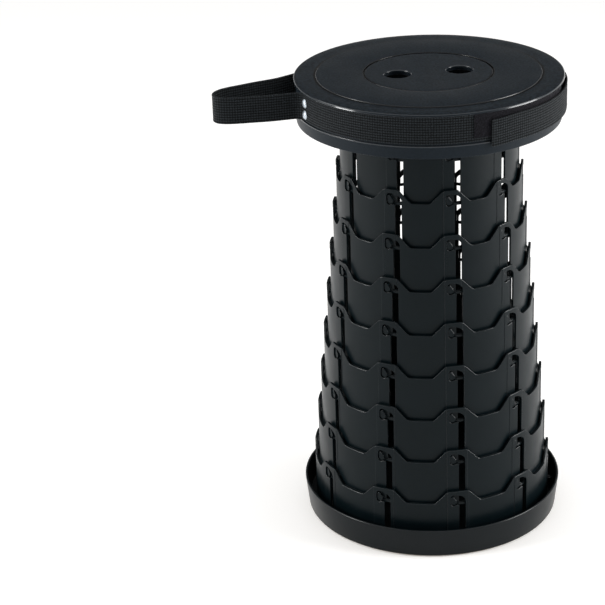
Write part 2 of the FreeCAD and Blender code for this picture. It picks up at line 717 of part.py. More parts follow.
def build():
    nodes = {
        "base_tray": base_tray(),
        "foot_pads": foot_pads(),
        "base_screws": base_screws(),
        f"ring_{RING_COUNT}": base_ring(),
        "seat_collar": seat_collar(),
        "seat_screws": seat_screws(),
        "seat_shell": seat_shell(),
        "centre_lid": centre_lid(),
        "strap_front_band": strap_front_band(),
        "strap_rear_band": strap_rear_band(),
        "strap_loop": strap_loop(),
        "loop_patch": loop_patch(),
        "hook_patch": hook_patch(),
        "strap_rivets": strap_rivets(),
        "rivet_washers": rivet_washers(),
    }
    for index in range(1, RING_COUNT):
        nodes[f"ring_{index}"] = moving_ring(index)
    return nodes


def main():
    os.makedirs("parts", exist_ok=True)
    for name, shape in build().items():
        shape.exportStep(os.path.join("parts", name + ".step"))
        print(name, "solids", len(shape.Solids), "valid", shape.isValid(), "volume", round(shape.Volume))
    print("seat top", SEAT_TOP, "collapsed", SEAT_TOP - (RING_COUNT - 1) * STAGE_TRAVEL - SEAT_TRAVEL)


main()
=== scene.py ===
"""Looks of a collapsible telescopic stool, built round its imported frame.

Sizes are in millimetres and follow the frame: the origin is on the floor under the stool's centre,
+Z is up and -Y is the front. An azimuth is in degrees and turns from the front towards +X.
"""

import json
import logging
import math
from dataclasses import dataclass, field
from enum import Enum
from typing import Any, Sequence

import bmesh
import bpy
import numpy as np
from mathutils import Matrix, Vector
from mathutils.geometry import delaunay_2d_cdt

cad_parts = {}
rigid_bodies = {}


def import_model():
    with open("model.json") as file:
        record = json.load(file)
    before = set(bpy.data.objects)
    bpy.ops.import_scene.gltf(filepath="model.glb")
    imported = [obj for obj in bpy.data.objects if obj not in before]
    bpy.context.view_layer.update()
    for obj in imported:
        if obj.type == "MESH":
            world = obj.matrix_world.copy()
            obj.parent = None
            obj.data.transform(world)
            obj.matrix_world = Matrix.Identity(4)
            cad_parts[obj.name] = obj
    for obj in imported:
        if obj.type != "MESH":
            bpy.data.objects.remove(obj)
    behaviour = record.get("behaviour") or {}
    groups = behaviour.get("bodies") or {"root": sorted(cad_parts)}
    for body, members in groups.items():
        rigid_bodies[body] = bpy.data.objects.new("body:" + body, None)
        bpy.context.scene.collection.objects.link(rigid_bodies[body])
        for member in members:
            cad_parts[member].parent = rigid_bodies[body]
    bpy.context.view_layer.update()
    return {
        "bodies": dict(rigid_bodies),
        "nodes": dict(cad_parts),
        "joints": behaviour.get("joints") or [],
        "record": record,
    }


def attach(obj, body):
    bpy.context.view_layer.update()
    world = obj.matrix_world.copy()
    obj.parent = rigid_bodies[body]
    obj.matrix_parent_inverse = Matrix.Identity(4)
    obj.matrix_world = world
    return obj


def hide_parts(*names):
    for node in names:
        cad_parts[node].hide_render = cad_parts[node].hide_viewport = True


Band = tuple[float, float]
Triple = tuple[float, float, float]
Socket = bpy.types.NodeSocket

LOG = logging.getLogger("stool")
MM = 0.001

FULL_TURN = 360.0
RING_COUNT = 9
COLUMN_COUNT = 10
PITCH = FULL_TURN / COLUMN_COUNT
SEAT_TOP = 450.0
SEAT_UNDERSIDE = 447.6
CHANNEL_TOP = 447.0
CHANNEL_BOTTOM = 419.7
CHANNEL_RADIUS = 124.6
TRAY_FLOOR_TOP = 7.3
STRAP_BOTTOM = 421.4
STRAP_WIDTH = 25.3
STRAP_THICKNESS = 1.6
SCREW_COUNT = 5
BASE_SCREW_AZIMUTH = 21.4
SINK_RADIUS = 2.95
SINK_DEPTH = 1.5
BORE_RADIUS = 1.55
ROUND_STEPS = 240
HOLE_STEPS = 48
BOSS_STEPS = 32
SAME_AZIMUTH = 1e-4
SAME_POINT = 1e-6
TINY = 1e-9
WIDEST_REACH = 0.49
WHITE = (1.0, 1.0, 1.0)


class Body(Enum):
    """Bodies of the frame that pieces ride on."""

    BASE = "base"
    SEAT = "seat"


class Slot(Enum):
    """Material slots of the record."""

    TRAY = "tray_plastic"
    RING = "ring_plastic"
    SEAT = "seat_plastic"
    RUBBER = "rubber"
    SCREW = "screw_steel"
    WEBBING = "webbing"
    FUZZY = "fuzzy_fastener"
    RIVET = "rivet_metal"


class Effect(Enum):
    """Shader groups that the finishes share."""

    GRAIN = "grain"
    EDGES = "edges"
    TURNED = "turned"
    RIDGE = "ridge"
    SEAM = "seam"
    DUST = "dust"
    WEAVE = "weave"


def plan(radius: Any, azimuth: Any, level: Any) -> np.ndarray:
    """Points at a radius, an azimuth and a level: (r sin a, -r cos a, z).

    Args:
        radius: Distance from the axis.
        azimuth: Degrees from the front towards +X.
        level: Height above the floor.

    Returns:
        Array with a last axis of three.
    """
    turn = np.radians(azimuth)
    axes = np.broadcast_arrays(radius * np.sin(turn), -radius * np.cos(turn), level)
    return np.stack(axes, axis=-1)


def screw_places(circle: float, first: float) -> np.ndarray:
    """Plan points of the five screws on a circle, from the first one's azimuth."""
    azimuth = first + FULL_TURN / SCREW_COUNT * np.arange(SCREW_COUNT)
    return plan(circle, azimuth, 0.0)[:, :2]


def eased(share: np.ndarray) -> np.ndarray:
    """Smooth step from 0 to 1: s^2 (3 - 2 s), with s held between 0 and 1."""
    held = np.clip(share, 0.0, 1.0)
    return held * held * (3 - 2 * held)


def rounded(corners: Sequence[Triple], steps: int = 5, closed: bool = True) -> np.ndarray:
    """Profile with rounded corners.

    Each corner P gives way to the curve (1-s)^2 A + 2s(1-s) P + s^2 B, with A and B on its two
    sides at the corner's own reach from P, so the curve touches both sides. A reach takes up less
    than half of the shorter side.

    Args:
        corners: (across, up, reach) of every corner.
        steps: Steps in each rounding.
        closed: Whether the last corner joins the first.

    Returns:
        Array of (across, up) points.
    """
    data = np.asarray(corners, float)
    point, reach = data[:, :2], data[:, 2:3]
    before = np.roll(point, 1, axis=0) - point
    after = np.roll(point, -1, axis=0) - point
    if not closed:
        before[0] = 0.0
        after[-1] = 0.0
    length_a = np.linalg.norm(before, axis=1, keepdims=True)
    length_b = np.linalg.norm(after, axis=1, keepdims=True)
    reach = np.minimum(reach, WIDEST_REACH * np.minimum(length_a, length_b))
    a = point + before / np.maximum(length_a, TINY) * reach
    b = point + after / np.maximum(length_b, TINY) * reach
    s = np.linspace(0.0, 1.0, steps + 1)[None, :, None]
    curve = (1 - s) ** 2 * a[:, None] + 2 * s * (1 - s) * point[:, None] + s**2 * b[:, None]
    return curve.reshape(-1, 2)


def smooth_route(points: np.ndarray, step: float) -> np.ndarray:
    """Cubic spline through plan points, with its parameter along the chords.

    The second derivatives M solve the usual three-term rows
    h0 M0 + 2 (h0 + h1) M1 + h1 M2 = 6 (d1 - d0), with both ends free.

    Args:
        points: Plan points to pass through.
        step: Distance between the points handed back.

    Returns:
        Array of plan points.
    """
    p = np.asarray(points, float)
    h = np.linalg.norm(np.diff(p, axis=0), axis=1)
    t = np.concatenate([[0.0], np.cumsum(h)])
    n = len(p)
    rows = np.eye(n)
    inner = np.arange(1, n - 1)
    rows[inner, inner - 1] = h[:-1]
    rows[inner, inner] = 2 * (h[:-1] + h[1:])
    rows[inner, inner + 1] = h[1:]
    slope = np.diff(p, axis=0) / h[:, None]
    right = np.zeros_like(p)
    right[1:-1] = 6 * np.diff(slope, axis=0)
    bend = np.linalg.solve(rows, right)
    at = np.linspace(0.0, t[-1], max(2, int(round(t[-1] / step)) + 1))
    k = np.clip(np.searchsorted(t, at, side="right") - 1, 0, n - 2)
    u = (at - t[k])[:, None]
    w = (t[k + 1] - at)[:, None]
    hk = h[k][:, None]
    cubic = (bend[k] * w**3 + bend[k + 1] * u**3) / (6 * hk)
    return cubic + (p[k] / hk - bend[k] * hk / 6) * w + (p[k + 1] / hk - bend[k + 1] * hk / 6) * u


@dataclass
class Shell:
    """Collects surface patches in millimetres and makes them one mesh."""

    points: list[np.ndarray] = field(default_factory=list)
    faces: list[np.ndarray] = field(default_factory=list)
    uvs: list[np.ndarray] = field(default_factory=list)
    count: int = 0
    merge_distance: float = 0.004
    sliver: float = 0.002
    upright_rise: float = 0.95

    def add(
        self, points: np.ndarray, faces: Sequence[np.ndarray], uv: np.ndarray | None = None
    ) -> None:
        """Adds points with faces that count from the first of them.

        Args:
            points: Array of points.
            faces: Arrays of faces, each with one row per face.
            uv: One (u, v) pair for every point, or None.
        """
        flat = points.reshape(-1, 3)
        self.points.append(flat)
        self.uvs.append(np.zeros((len(flat), 2)) if uv is None else uv.reshape(-1, 2))
        self.faces.extend(np.asarray(f) + self.count for f in faces if len(f))
        self.count += len(flat)

    def grid(
        self, points: np.ndarray, around: bool = False, up: bool = False,
        uv: np.ndarray | None = None,
    ) -> None:
        """Adds a grid of points as quads.

        Args:
            points: Array of shape (columns, rows, 3).
            around: Whether the last column joins the first.
            up: Whether the last row joins the first.
            uv: Pattern coordinates of shape (columns, rows, 2), or None.
        """
        columns, rows = points.shape[:2]
        index = np.arange(columns * rows).reshape(columns, rows)
        a = index if around else index[:-1]
        b = np.roll(index, -1, axis=0) if around else index[1:]
        if up:
            corners = [a, b, np.roll(b, -1, axis=1), np.roll(a, -1, axis=1)]
        else:
            corners = [a[:, :-1], b[:, :-1], b[:, 1:], a[:, 1:]]
        self.add(points, [np.stack(corners, axis=-1).reshape(-1, 4)], uv)

    def revolve(
        self, profile: np.ndarray, closed: bool = True, segments: int = ROUND_STEPS,
        centres: Sequence[Band] = ((0.0, 0.0),),
    ) -> None:
        """Turns a profile of (radius, level) about one or more upright axes.

        Args:
            profile: Array of (radius, level) points.
            closed: Whether the profile is a closed loop.
            segments: Steps in the full turn.
            centres: Where the axes stand in plan.
        """
        azimuth = np.arange(segments)[:, None] * FULL_TURN / segments
        points = plan(profile[None, :, 0], azimuth, profile[None, :, 1])
        for x, y in centres:
            self.grid(points + np.array([x, y, 0.0]), around=True, up=closed)

    def plate(
        self, level: float, radius: float, holes: Sequence[tuple[np.ndarray, float]]
    ) -> None:
        """Adds a flat round plate with round holes, filled with triangles between its circles.

        Args:
            level: Height of the plate.
            radius: Radius of its edge.
            holes: Plan points and the radius of every set of holes.
        """
        rims = [(0.0, 0.0, radius, ROUND_STEPS)]
        rims += [(x, y, size, HOLE_STEPS) for places, size in holes for x, y in places]
        loops = [
            plan(r, np.arange(n) * FULL_TURN / n, 0.0)[:, :2] + (x, y) for x, y, r, n in rims
        ]
        starts = np.cumsum([0] + [len(loop) for loop in loops])
        edges = []
        for start, loop in zip(starts, loops):
            k = np.arange(len(loop))
            edges += np.stack([start + k, start + (k + 1) % len(loop)], axis=1).tolist()
        flat = [Vector(p) for p in np.concatenate(loops)]
        found, _, triangles, *_ = delaunay_2d_cdt(flat, edges, [], 0, SAME_POINT)
        place = np.array([[p.x, p.y] for p in found])
        triangles = np.array([t for t in triangles if len(t) == 3])
        middle = place[triangles].mean(axis=1)
        inside = np.linalg.norm(middle, axis=1) < radius
        for x, y, size, _ in rims[1:]:
            inside &= np.linalg.norm(middle - (x, y), axis=1) > size
        points = np.concatenate([place, np.full((len(place), 1), level)], axis=1)
        self.add(points, [triangles[inside]])

    def prisms(
        self, outline: np.ndarray, start: float, length: float, azimuths: np.ndarray
    ) -> None:
        """Adds closed prisms that stand out from the axis.

        An outline point (across, up) goes to azimuth a at distance d as
        (d sin a + across cos a, -d cos a + across sin a, up).

        Args:
            outline: Array of (across, up) points.
            start: Distance of the prisms' inner ends from the axis.
            length: How far they reach outwards.
            azimuths: One azimuth for each prism.
        """
        count = len(outline)
        turn = np.radians(azimuths)[:, None, None]
        distance = np.array([start, start + length])[None, :, None]
        across = outline[None, None, :, 0]
        level = np.broadcast_to(outline[None, None, :, 1], (len(azimuths), 2, count))
        x = distance * np.sin(turn) + across * np.cos(turn)
        y = -distance * np.cos(turn) + across * np.sin(turn)
        k = np.arange(count)
        after = (k + 1) % count
        sides = np.stack([k, after, after + count, k + count], axis=1)
        for shape in np.stack([x, y, level], axis=-1):
            self.add(shape, [sides, k[None, ::-1], k[None] + count])

    def lay_pattern(self, mesh: bpy.types.Mesh) -> None:
        """Writes the pattern coordinates, in metres, to a UV map called pattern.

        Args:
            mesh: The mesh that takes the map.
        """
        layer = mesh.uv_layers.new(name="pattern")
        corner = np.empty(len(mesh.loops), np.int32)
        mesh.loops.foreach_get("vertex_index", corner)
        pattern = np.concatenate(self.uvs)[corner] * MM
        layer.data.foreach_set("uv", pattern.astype(np.float32).ravel())

    def build(
        self, name: str, sharp: float = 32.0, bevel: float = 0.0, upright: float = 1.0,
        keep_uv: bool = False,
    ) -> bpy.types.Object:
        """Makes the mesh: doubles merged, flat faces dropped, normals outwards, edges rounded.

        Args:
            name: Name of the piece.
            sharp: Degrees past which an edge is shaded sharp.
            bevel: Width of the rounding on outward edges, or zero.
            upright: Share of that width on upright edges.
            keep_uv: Whether the pattern coordinates go into a UV map.

        Returns:
            The finished object, at the origin.
        """
        points = np.concatenate(self.points) * MM
        faces = [row for block in self.faces for row in block.tolist()]
        limit = math.radians(sharp)
        mesh = bpy.data.meshes.new(name)
        mesh.from_pydata(points.tolist(), [], faces)
        if keep_uv:
            self.lay_pattern(mesh)
        bm = bmesh.new()
        bm.from_mesh(mesh)
        bmesh.ops.remove_doubles(bm, verts=bm.verts, dist=self.merge_distance * MM)
        bmesh.ops.dissolve_degenerate(bm, edges=bm.edges, dist=self.sliver * MM)
        bmesh.ops.recalc_face_normals(bm, faces=bm.faces)
        if bevel > 0.0:
            weight = bm.edges.layers.float.new("bevel_weight_edge")
            for edge in bm.edges:
                joined = len(edge.link_faces) == 2 and edge.is_convex
                if joined and edge.calc_face_angle(0.0) > limit:
                    rise = abs(edge.verts[0].co.z - edge.verts[1].co.z)
                    stands = rise > self.upright_rise * edge.calc_length()
                    edge[weight] = upright if stands else 1.0
        bm.to_mesh(mesh)
        bm.free()
        mesh.shade_smooth()
        mesh.set_sharp_from_angle(angle=limit)
        piece = bpy.data.objects.new(name, mesh)
        bpy.context.scene.collection.objects.link(piece)
        if bevel > 0.0:
            rounding = piece.modifiers.new("edge_round", "BEVEL")
            rounding.width = bevel * MM
            rounding.segments = 2
            rounding.limit_method = "WEIGHT"
            rounding.use_clamp_overlap = False
            rounding.harden_normals = True
        return piece


def solid(colour: Triple) -> tuple[float, float, float, float]:
    """A colour with full alpha."""
    return (*colour, 1.0)


@dataclass
class NodeBench:
    """Adds and links nodes in one node tree."""

    tree: bpy.types.NodeTree

    def feed(self, node: bpy.types.Node, inputs: dict[Any, Any]) -> None:
        """Links a node's inputs, or sets their constants.

        Args:
            node: The node.
            inputs: Sockets by name or number, each with a constant or another socket.
        """
        for key, value in inputs.items():
            if isinstance(value, Socket):
                self.tree.links.new(value, node.inputs[key])
            else:
                node.inputs[key].default_value = value

    def add(
        self, kind: str, inputs: dict[Any, Any] | None = None, **settings: Any
    ) -> bpy.types.Node:
        """Adds one node.

        Args:
            kind: Blender's name for the node.
            inputs: Sockets by name or number, each with a constant or another socket.
            settings: Properties of the node.

        Returns:
            The node.
        """
        node = self.tree.nodes.new(kind)
        for key, value in settings.items():
            setattr(node, key, value)
        self.feed(node, inputs or {})
        return node

    def maths(self, operation: str, *values: Any, clamp: bool = False) -> Socket:
        """One arithmetic step; its inputs are constants or sockets."""
        inputs = dict(enumerate(values))
        return self.add("ShaderNodeMath", inputs, operation=operation, use_clamp=clamp).outputs[0]

    def vector(self, operation: str, *values: Any) -> Socket:
        """A number from one or two vectors, such as a length or a dot product."""
        inputs = dict(enumerate(values))
        return self.add("ShaderNodeVectorMath", inputs, operation=operation).outputs["Value"]

    def mixed(self, factor: Any, first: Any, second: Any) -> Socket:
        """A colour between two.

        Args:
            factor: Share of the second colour, as a constant or a socket.
            first: A plain colour or a socket.
            second: A plain colour or a socket.

        Returns:
            The mixed colour.
        """
        ends = [value if isinstance(value, Socket) else solid(value) for value in (first, second)]
        inputs = {0: factor, 6: ends[0], 7: ends[1]}
        return self.add("ShaderNodeMix", inputs, data_type="RGBA").outputs[2]

    def ranged(self, value: Any, band: Band, to: Sequence[Any] = (0.0, 1.0)) -> Socket:
        """A value brought from one band to another, and held inside it."""
        inputs = {"From Min": band[0], "From Max": band[1], "To Min": to[0], "To Max": to[1]}
        return self.add("ShaderNodeMapRange", {"Value": value, **inputs}).outputs["Result"]

    def noise(
        self, vector: Any, scale: Any, detail: float = 2.0, roughness: float = 0.5
    ) -> Socket:
        """Noise on a vector."""
        inputs = {"Vector": vector, "Scale": scale, "Detail": detail, "Roughness": roughness}
        return self.add("ShaderNodeTexNoise", inputs).outputs["Fac"]

    def bump(self, height: Any, distance: Any, **normal: Socket) -> Socket:
        """A normal pushed by a height, over another normal where one is given."""
        inputs = {"Strength": 1.0, "Distance": distance, "Height": height, **normal}
        return self.add("ShaderNodeBump", inputs).outputs["Normal"]

    def axis(self, vector: Any, name: str) -> Socket:
        """One axis of a vector."""
        return self.add("ShaderNodeSeparateXYZ", {0: vector}).outputs[name]

    def place(self) -> Socket:
        """Where the surface lies, in its piece's own metres."""
        return self.add("ShaderNodeTexCoord").outputs["Object"]

    def normal(self) -> Socket:
        """The way the surface faces."""
        return self.add("ShaderNodeNewGeometry").outputs["Normal"]


@dataclass
class EffectGroups:
    """Node groups that more than one finish uses, each built once."""

    built: dict[Effect, bpy.types.NodeTree] = field(default_factory=dict)
    slow_band: Band = (0.32, 0.68)
    fine_band: Band = (0.38, 0.62)
    level_band: Band = (0.9, 0.99)
    speckle_share: Band = (0.1, 1.0)
    turned_band: Band = (0.985, 0.88)
    lip_reach: float = 0.5
    ridge_start: Band = (0.12, 0.35)
    ridge_end: Band = (0.9, 0.97)
    groove_shade_band: Band = (0.7 * MM, 1.9 * MM)
    dust_scale: float = 55.0
    dust_band: Band = (0.42, 0.72)
    dust_facing: Band = (0.35, 0.95)
    sway_scale: float = 900.0
    sway: float = 0.5
    dip: float = 0.75
    gap_band: Band = (0.15, 0.75)

    def start(
        self, effect: Effect, inputs: dict[str, float], *outputs: str
    ) -> tuple[NodeBench, Any, bpy.types.Node]:
        """Starts a group with number inputs. An output called Normal is a vector, others numbers.

        Args:
            effect: Which group.
            inputs: Name and first value of every input.
            outputs: Name of every output.

        Returns:
            The bench, the sockets that hand the inputs in, and the group's output node.
        """
        tree = bpy.data.node_groups.new(effect.value, "ShaderNodeTree")
        face = tree.interface
        for label, value in inputs.items():
            socket = face.new_socket(name=label, in_out="INPUT", socket_type="NodeSocketFloat")
            socket.default_value = value
        for label in outputs:
            kind = "NodeSocketVector" if label == "Normal" else "NodeSocketFloat"
            face.new_socket(name=label, in_out="OUTPUT", socket_type=kind)
        self.built[effect] = tree
        bench = NodeBench(tree)
        return bench, bench.add("NodeGroupInput").outputs, bench.add("NodeGroupOutput")

    def place(self, bench: NodeBench, effect: Effect, inputs: dict[str, Any]) -> Any:
        """Places a group in a material, and builds it at its first use.

        Args:
            bench: The material's bench.
            effect: Which group.
            inputs: Its values.

        Returns:
            The group's outputs.
        """
        makers = {
            Effect.GRAIN: self.make_grain,
            Effect.EDGES: self.make_edges,
            Effect.TURNED: self.make_turned,
            Effect.RIDGE: self.make_ridge,
            Effect.SEAM: self.make_groove_shade,
            Effect.DUST: self.make_dust,
            Effect.WEAVE: self.make_weave,
        }
        if effect not in self.built:
            makers[effect]()
        return bench.add("ShaderNodeGroup", inputs, node_tree=self.built[effect]).outputs

    def make_grain(self) -> None:
        """Spark-eroded grain: fine noise as a bump, slow noise as a mask for tone and gloss.

        Level Only, at 1, holds the fine noise's tone back on faces that aren't level.
        """
        sizes = {"Grain Size": 0.4, "Grain Depth": 0.01, "Mottle Size": 30.0, "Level Only": 0.0}
        bench, given, out = self.start(Effect.GRAIN, sizes, "Mottle", "Speckle", "Normal")
        place = bench.place()
        fine_scale = bench.maths("DIVIDE", 1 / MM, given["Grain Size"])
        slow_scale = bench.maths("DIVIDE", 1 / MM, given["Mottle Size"])
        fine = bench.noise(place, fine_scale, detail=1.0)
        slow = bench.noise(place, slow_scale, detail=3.0, roughness=0.6)
        depth = bench.maths("MULTIPLY", given["Grain Depth"], MM)
        level = bench.ranged(bench.axis(bench.normal(), "Z"), self.level_band, self.speckle_share)
        less = bench.maths("SUBTRACT", level, 1.0)
        share = bench.maths("MULTIPLY_ADD", given["Level Only"], less, 1.0)
        speckle = bench.maths("SUBTRACT", bench.ranged(fine, self.fine_band), 0.5)
        bench.feed(out, {
            "Mottle": bench.ranged(slow, self.slow_band),
            "Speckle": bench.maths("MULTIPLY_ADD", speckle, share, 0.5),
            "Normal": bench.bump(fine, depth),
        })

    def make_edges(self) -> None:
        """Mask of edges: how far a normal rounded over a radius leans from the true one."""
        bench, given, out = self.start(Effect.EDGES, {"Radius": 0.6, "Gain": 6.0}, "Mask")
        radius = bench.maths("MULTIPLY", given["Radius"], MM)
        soft = bench.add("ShaderNodeBevel", {"Radius": radius}, samples=6).outputs["Normal"]
        lean = bench.maths("SUBTRACT", 1.0, bench.vector("DOT_PRODUCT", soft, bench.normal()))
        bench.feed(out, {"Mask": bench.maths("MULTIPLY", lean, given["Gain"], clamp=True)})

    def make_turned(self) -> None:
        """Mask of smooth faces: those that aren't level, above one height or near another."""
        heights = {"Level": 446.9, "Lip": 419.2}
        bench, given, out = self.start(Effect.TURNED, heights, "Mask")
        height = bench.axis(bench.place(), "Z")
        lean = bench.ranged(bench.axis(bench.normal(), "Z"), self.turned_band)
        floor = bench.maths("MULTIPLY", given["Level"], MM)
        above = bench.maths("GREATER_THAN", height, floor)
        lip = bench.maths("SUBTRACT", height, bench.maths("MULTIPLY", given["Lip"], MM))
        near = bench.maths("LESS_THAN", bench.maths("ABSOLUTE", lip), self.lip_reach * MM)
        either = bench.maths("MAXIMUM", above, near)
        bench.feed(out, {"Mask": bench.maths("MULTIPLY", lean, either, clamp=True)})

    def make_ridge(self) -> None:
        """Mask of faces that lean back from upright and aren't level: rounded top edges."""
        bench, given, out = self.start(Effect.RIDGE, {"Amount": 1.0}, "Mask")
        up = bench.axis(bench.normal(), "Z")
        ends = bench.ranged(up, self.ridge_end, (1.0, 0.0))
        lean = bench.maths("MULTIPLY", bench.ranged(up, self.ridge_start), ends)
        bench.feed(out, {"Mask": bench.maths("MULTIPLY", lean, given["Amount"], clamp=True)})

    def make_groove_shade(self) -> None:
        """Mask of painted shade in a groove round the axis: near one radius, on the upper faces
        only.
        """
        bench, given, out = self.start(Effect.SEAM, {"Radius": 60.7, "Level": 446.9}, "Mask")
        axes = bench.add("ShaderNodeSeparateXYZ", {0: bench.place()}).outputs
        flat = bench.add("ShaderNodeCombineXYZ", {0: axes["X"], 1: axes["Y"], 2: 0.0}).outputs[0]
        radius = bench.maths("MULTIPLY", given["Radius"], MM)
        away = bench.maths("SUBTRACT", bench.vector("LENGTH", flat), radius)
        near = bench.ranged(bench.maths("ABSOLUTE", away), self.groove_shade_band, (1.0, 0.0))
        floor = bench.maths("MULTIPLY", given["Level"], MM)
        above = bench.maths("GREATER_THAN", axes["Z"], floor)
        bench.feed(out, {"Mask": bench.maths("MULTIPLY", near, above, clamp=True)})

    def make_dust(self) -> None:
        """Mask of faint dust that lies on faces that look up."""
        bench, given, out = self.start(Effect.DUST, {"Amount": 0.1}, "Mask")
        cloud = bench.noise(bench.place(), self.dust_scale, detail=5.0, roughness=0.65)
        facing = bench.ranged(bench.axis(bench.normal(), "Z"), self.dust_facing)
        lying = bench.maths("MULTIPLY", bench.ranged(cloud, self.dust_band), facing)
        bench.feed(out, {"Mask": bench.maths("MULTIPLY", lying, given["Amount"])})

    def make_weave(self) -> None:
        """Plain-woven webbing from the pattern map: u runs along the strap and v across it.

        A rib's height is |sin| across its own width, and it dips between every two picks:
        height = |sin(pi v / rib)| * (0.25 + 0.75 |sin(pi u / pick)|), with some noise in both.
        """
        sizes = {"Rib": 1.2, "Pick": 1.6}
        bench, given, out = self.start(Effect.WEAVE, sizes, "Height", "Gap")
        uv = bench.add("ShaderNodeUVMap", uv_map="pattern").outputs["UV"]
        sway = bench.maths("MULTIPLY", bench.noise(uv, self.sway_scale), self.sway)
        waves = []
        for axis, size in (("X", "Pick"), ("Y", "Rib")):
            width = bench.maths("MULTIPLY", given[size], MM)
            turns = bench.maths("ADD", bench.maths("DIVIDE", bench.axis(uv, axis), width), sway)
            angle = bench.maths("MULTIPLY", turns, math.pi)
            waves.append(bench.maths("ABSOLUTE", bench.maths("SINE", angle)))
        pick = bench.maths("MULTIPLY_ADD", waves[0], self.dip, 1.0 - self.dip)
        height = bench.maths("MULTIPLY", waves[1], pick)
        bench.feed(out, {"Height": height, "Gap": bench.ranged(height, self.gap_band, (1.0, 0.0))})


def start_material(name: str) -> tuple[bpy.types.Material, NodeBench, bpy.types.Node]:
    """Starts a material.

    Args:
        name: Name of the material.

    Returns:
        The material, its bench and its shader.
    """
    material = bpy.data.materials.new(name)
    material.use_nodes = True
    tree = material.node_tree
    return material, NodeBench(tree), tree.nodes["Principled BSDF"]


@dataclass(frozen=True)
class MouldedPlastic:
    """Black moulded plastic with a fine grain, edges paled partly by wear and partly by painted
    highlight, painted shade in any grooves it is given, and a trace of dust.
    """

    name: str
    colour: Triple
    pale: Triple
    roughness: float = 0.36
    spread: float = 0.05
    grain: float = 0.4
    depth: float = 0.006
    specular: float = 0.11
    # share of the pale edge colour, which is partly wear and partly painted highlight
    edge: float = 0.12
    dust: float = 0.015
    mottle: float = 0.5
    mottle_size: float = 40.0
    polish: float = 0.3
    coat: float = 1.0
    coat_roughness: float = 0.2
    smooth_above: float = 0.0
    shaded_grooves: tuple[float, ...] = ()
    edge_radius: float = 0.7
    edge_gain: float = 5.0
    groove_shade_colour: Triple = (0.0004, 0.0005, 0.0006)
    edge_wear_and_highlight_colour: Triple = (0.24, 0.25, 0.26)
    dust_colour: Triple = (0.32, 0.31, 0.29)

    def make(self, groups: EffectGroups) -> bpy.types.Material:
        """Builds the material.

        Args:
            groups: The shared effects.

        Returns:
            The material.
        """
        material, bench, shader = start_material(self.name)
        grain = groups.place(bench, Effect.GRAIN, {
            "Grain Size": self.grain, "Grain Depth": self.depth,
            "Mottle Size": self.mottle_size, "Level Only": 1.0,
        })
        sizes = {"Radius": self.edge_radius, "Gain": self.edge_gain}
        edges = groups.place(bench, Effect.EDGES, sizes)["Mask"]
        dust = groups.place(bench, Effect.DUST, {"Amount": self.dust})["Mask"]
        speckle = bench.maths("MULTIPLY", grain["Speckle"], 1.0 - self.mottle)
        tone = bench.maths("MULTIPLY_ADD", grain["Mottle"], self.mottle, speckle)
        body = bench.mixed(tone, self.colour, self.pale)
        # painted shade: every groove listed is darkened towards near black
        for radius in self.shaded_grooves:
            sizes = {"Radius": radius, "Level": self.smooth_above}
            seam = groups.place(bench, Effect.SEAM, sizes)["Mask"]
            body = bench.mixed(seam, body, self.groove_shade_colour)
        # painted highlight: edges are paled towards grey, partly as wear, partly for the light
        # their roundings catch
        edges_worn_and_highlit = bench.mixed(bench.maths("MULTIPLY", edges, self.edge), body, self.edge_wear_and_highlight_colour)
        ends = self.roughness - self.spread, self.roughness + self.spread
        rough = bench.ranged(grain["Mottle"], (0.0, 1.0), ends)
        if self.smooth_above > 0.0:
            gloss = groups.place(bench, Effect.TURNED, {"Level": self.smooth_above})["Mask"]
        else:
            gloss = groups.place(bench, Effect.RIDGE, {"Amount": 1.0})["Mask"]
        bench.feed(shader, {
            "Base Color": bench.mixed(dust, edges_worn_and_highlit, self.dust_colour),
            "Roughness": bench.ranged(edges, (0.0, 1.0), (rough, self.polish)),
            "Normal": grain["Normal"],
            "Specular IOR Level": self.specular,
            "Coat Weight": bench.maths("MULTIPLY", gloss, self.coat),
            "Coat Roughness": self.coat_roughness,
        })
        return material


@dataclass(frozen=True)
class WovenWebbing:
    """Black woven strap."""

    name: str
    yarn: Triple
    gap: Triple
    rib: float
    pick: float
    tones: Band = (0.4, 1.9)
    relief: float = 0.28
    roughness: Band = (0.95, 0.62)
    specular: float = 0.12
    sheen: float = 0.04
    sheen_roughness: float = 0.5

    def make(self, groups: EffectGroups) -> bpy.types.Material:
        """Builds the material.

        Args:
            groups: The shared effects.

        Returns:
            The material.
        """
        material, bench, shader = start_material(self.name)
        weave = groups.place(bench, Effect.WEAVE, {"Rib": self.rib, "Pick": self.pick})
        sizes = {"Grain Size": 0.35, "Grain Depth": 0.02, "Mottle Size": 12.0}
        grain = groups.place(bench, Effect.GRAIN, sizes)
        dark, pale = (tuple(tone * c for c in self.yarn) for tone in self.tones)
        yarn = bench.mixed(grain["Speckle"], dark, pale)
        bench.feed(shader, {
            # painted shade: the gaps between the ribs take a near-black colour
            "Base Color": bench.mixed(weave["Gap"], yarn, self.gap),
            "Roughness": bench.ranged(weave["Height"], (0.0, 1.0), self.roughness),
            "Normal": bench.bump(weave["Height"], self.relief * MM, Normal=grain["Normal"]),
            "Specular IOR Level": self.specular,
            "Sheen Weight": self.sheen,
            "Sheen Roughness": self.sheen_roughness,
        })
        return material


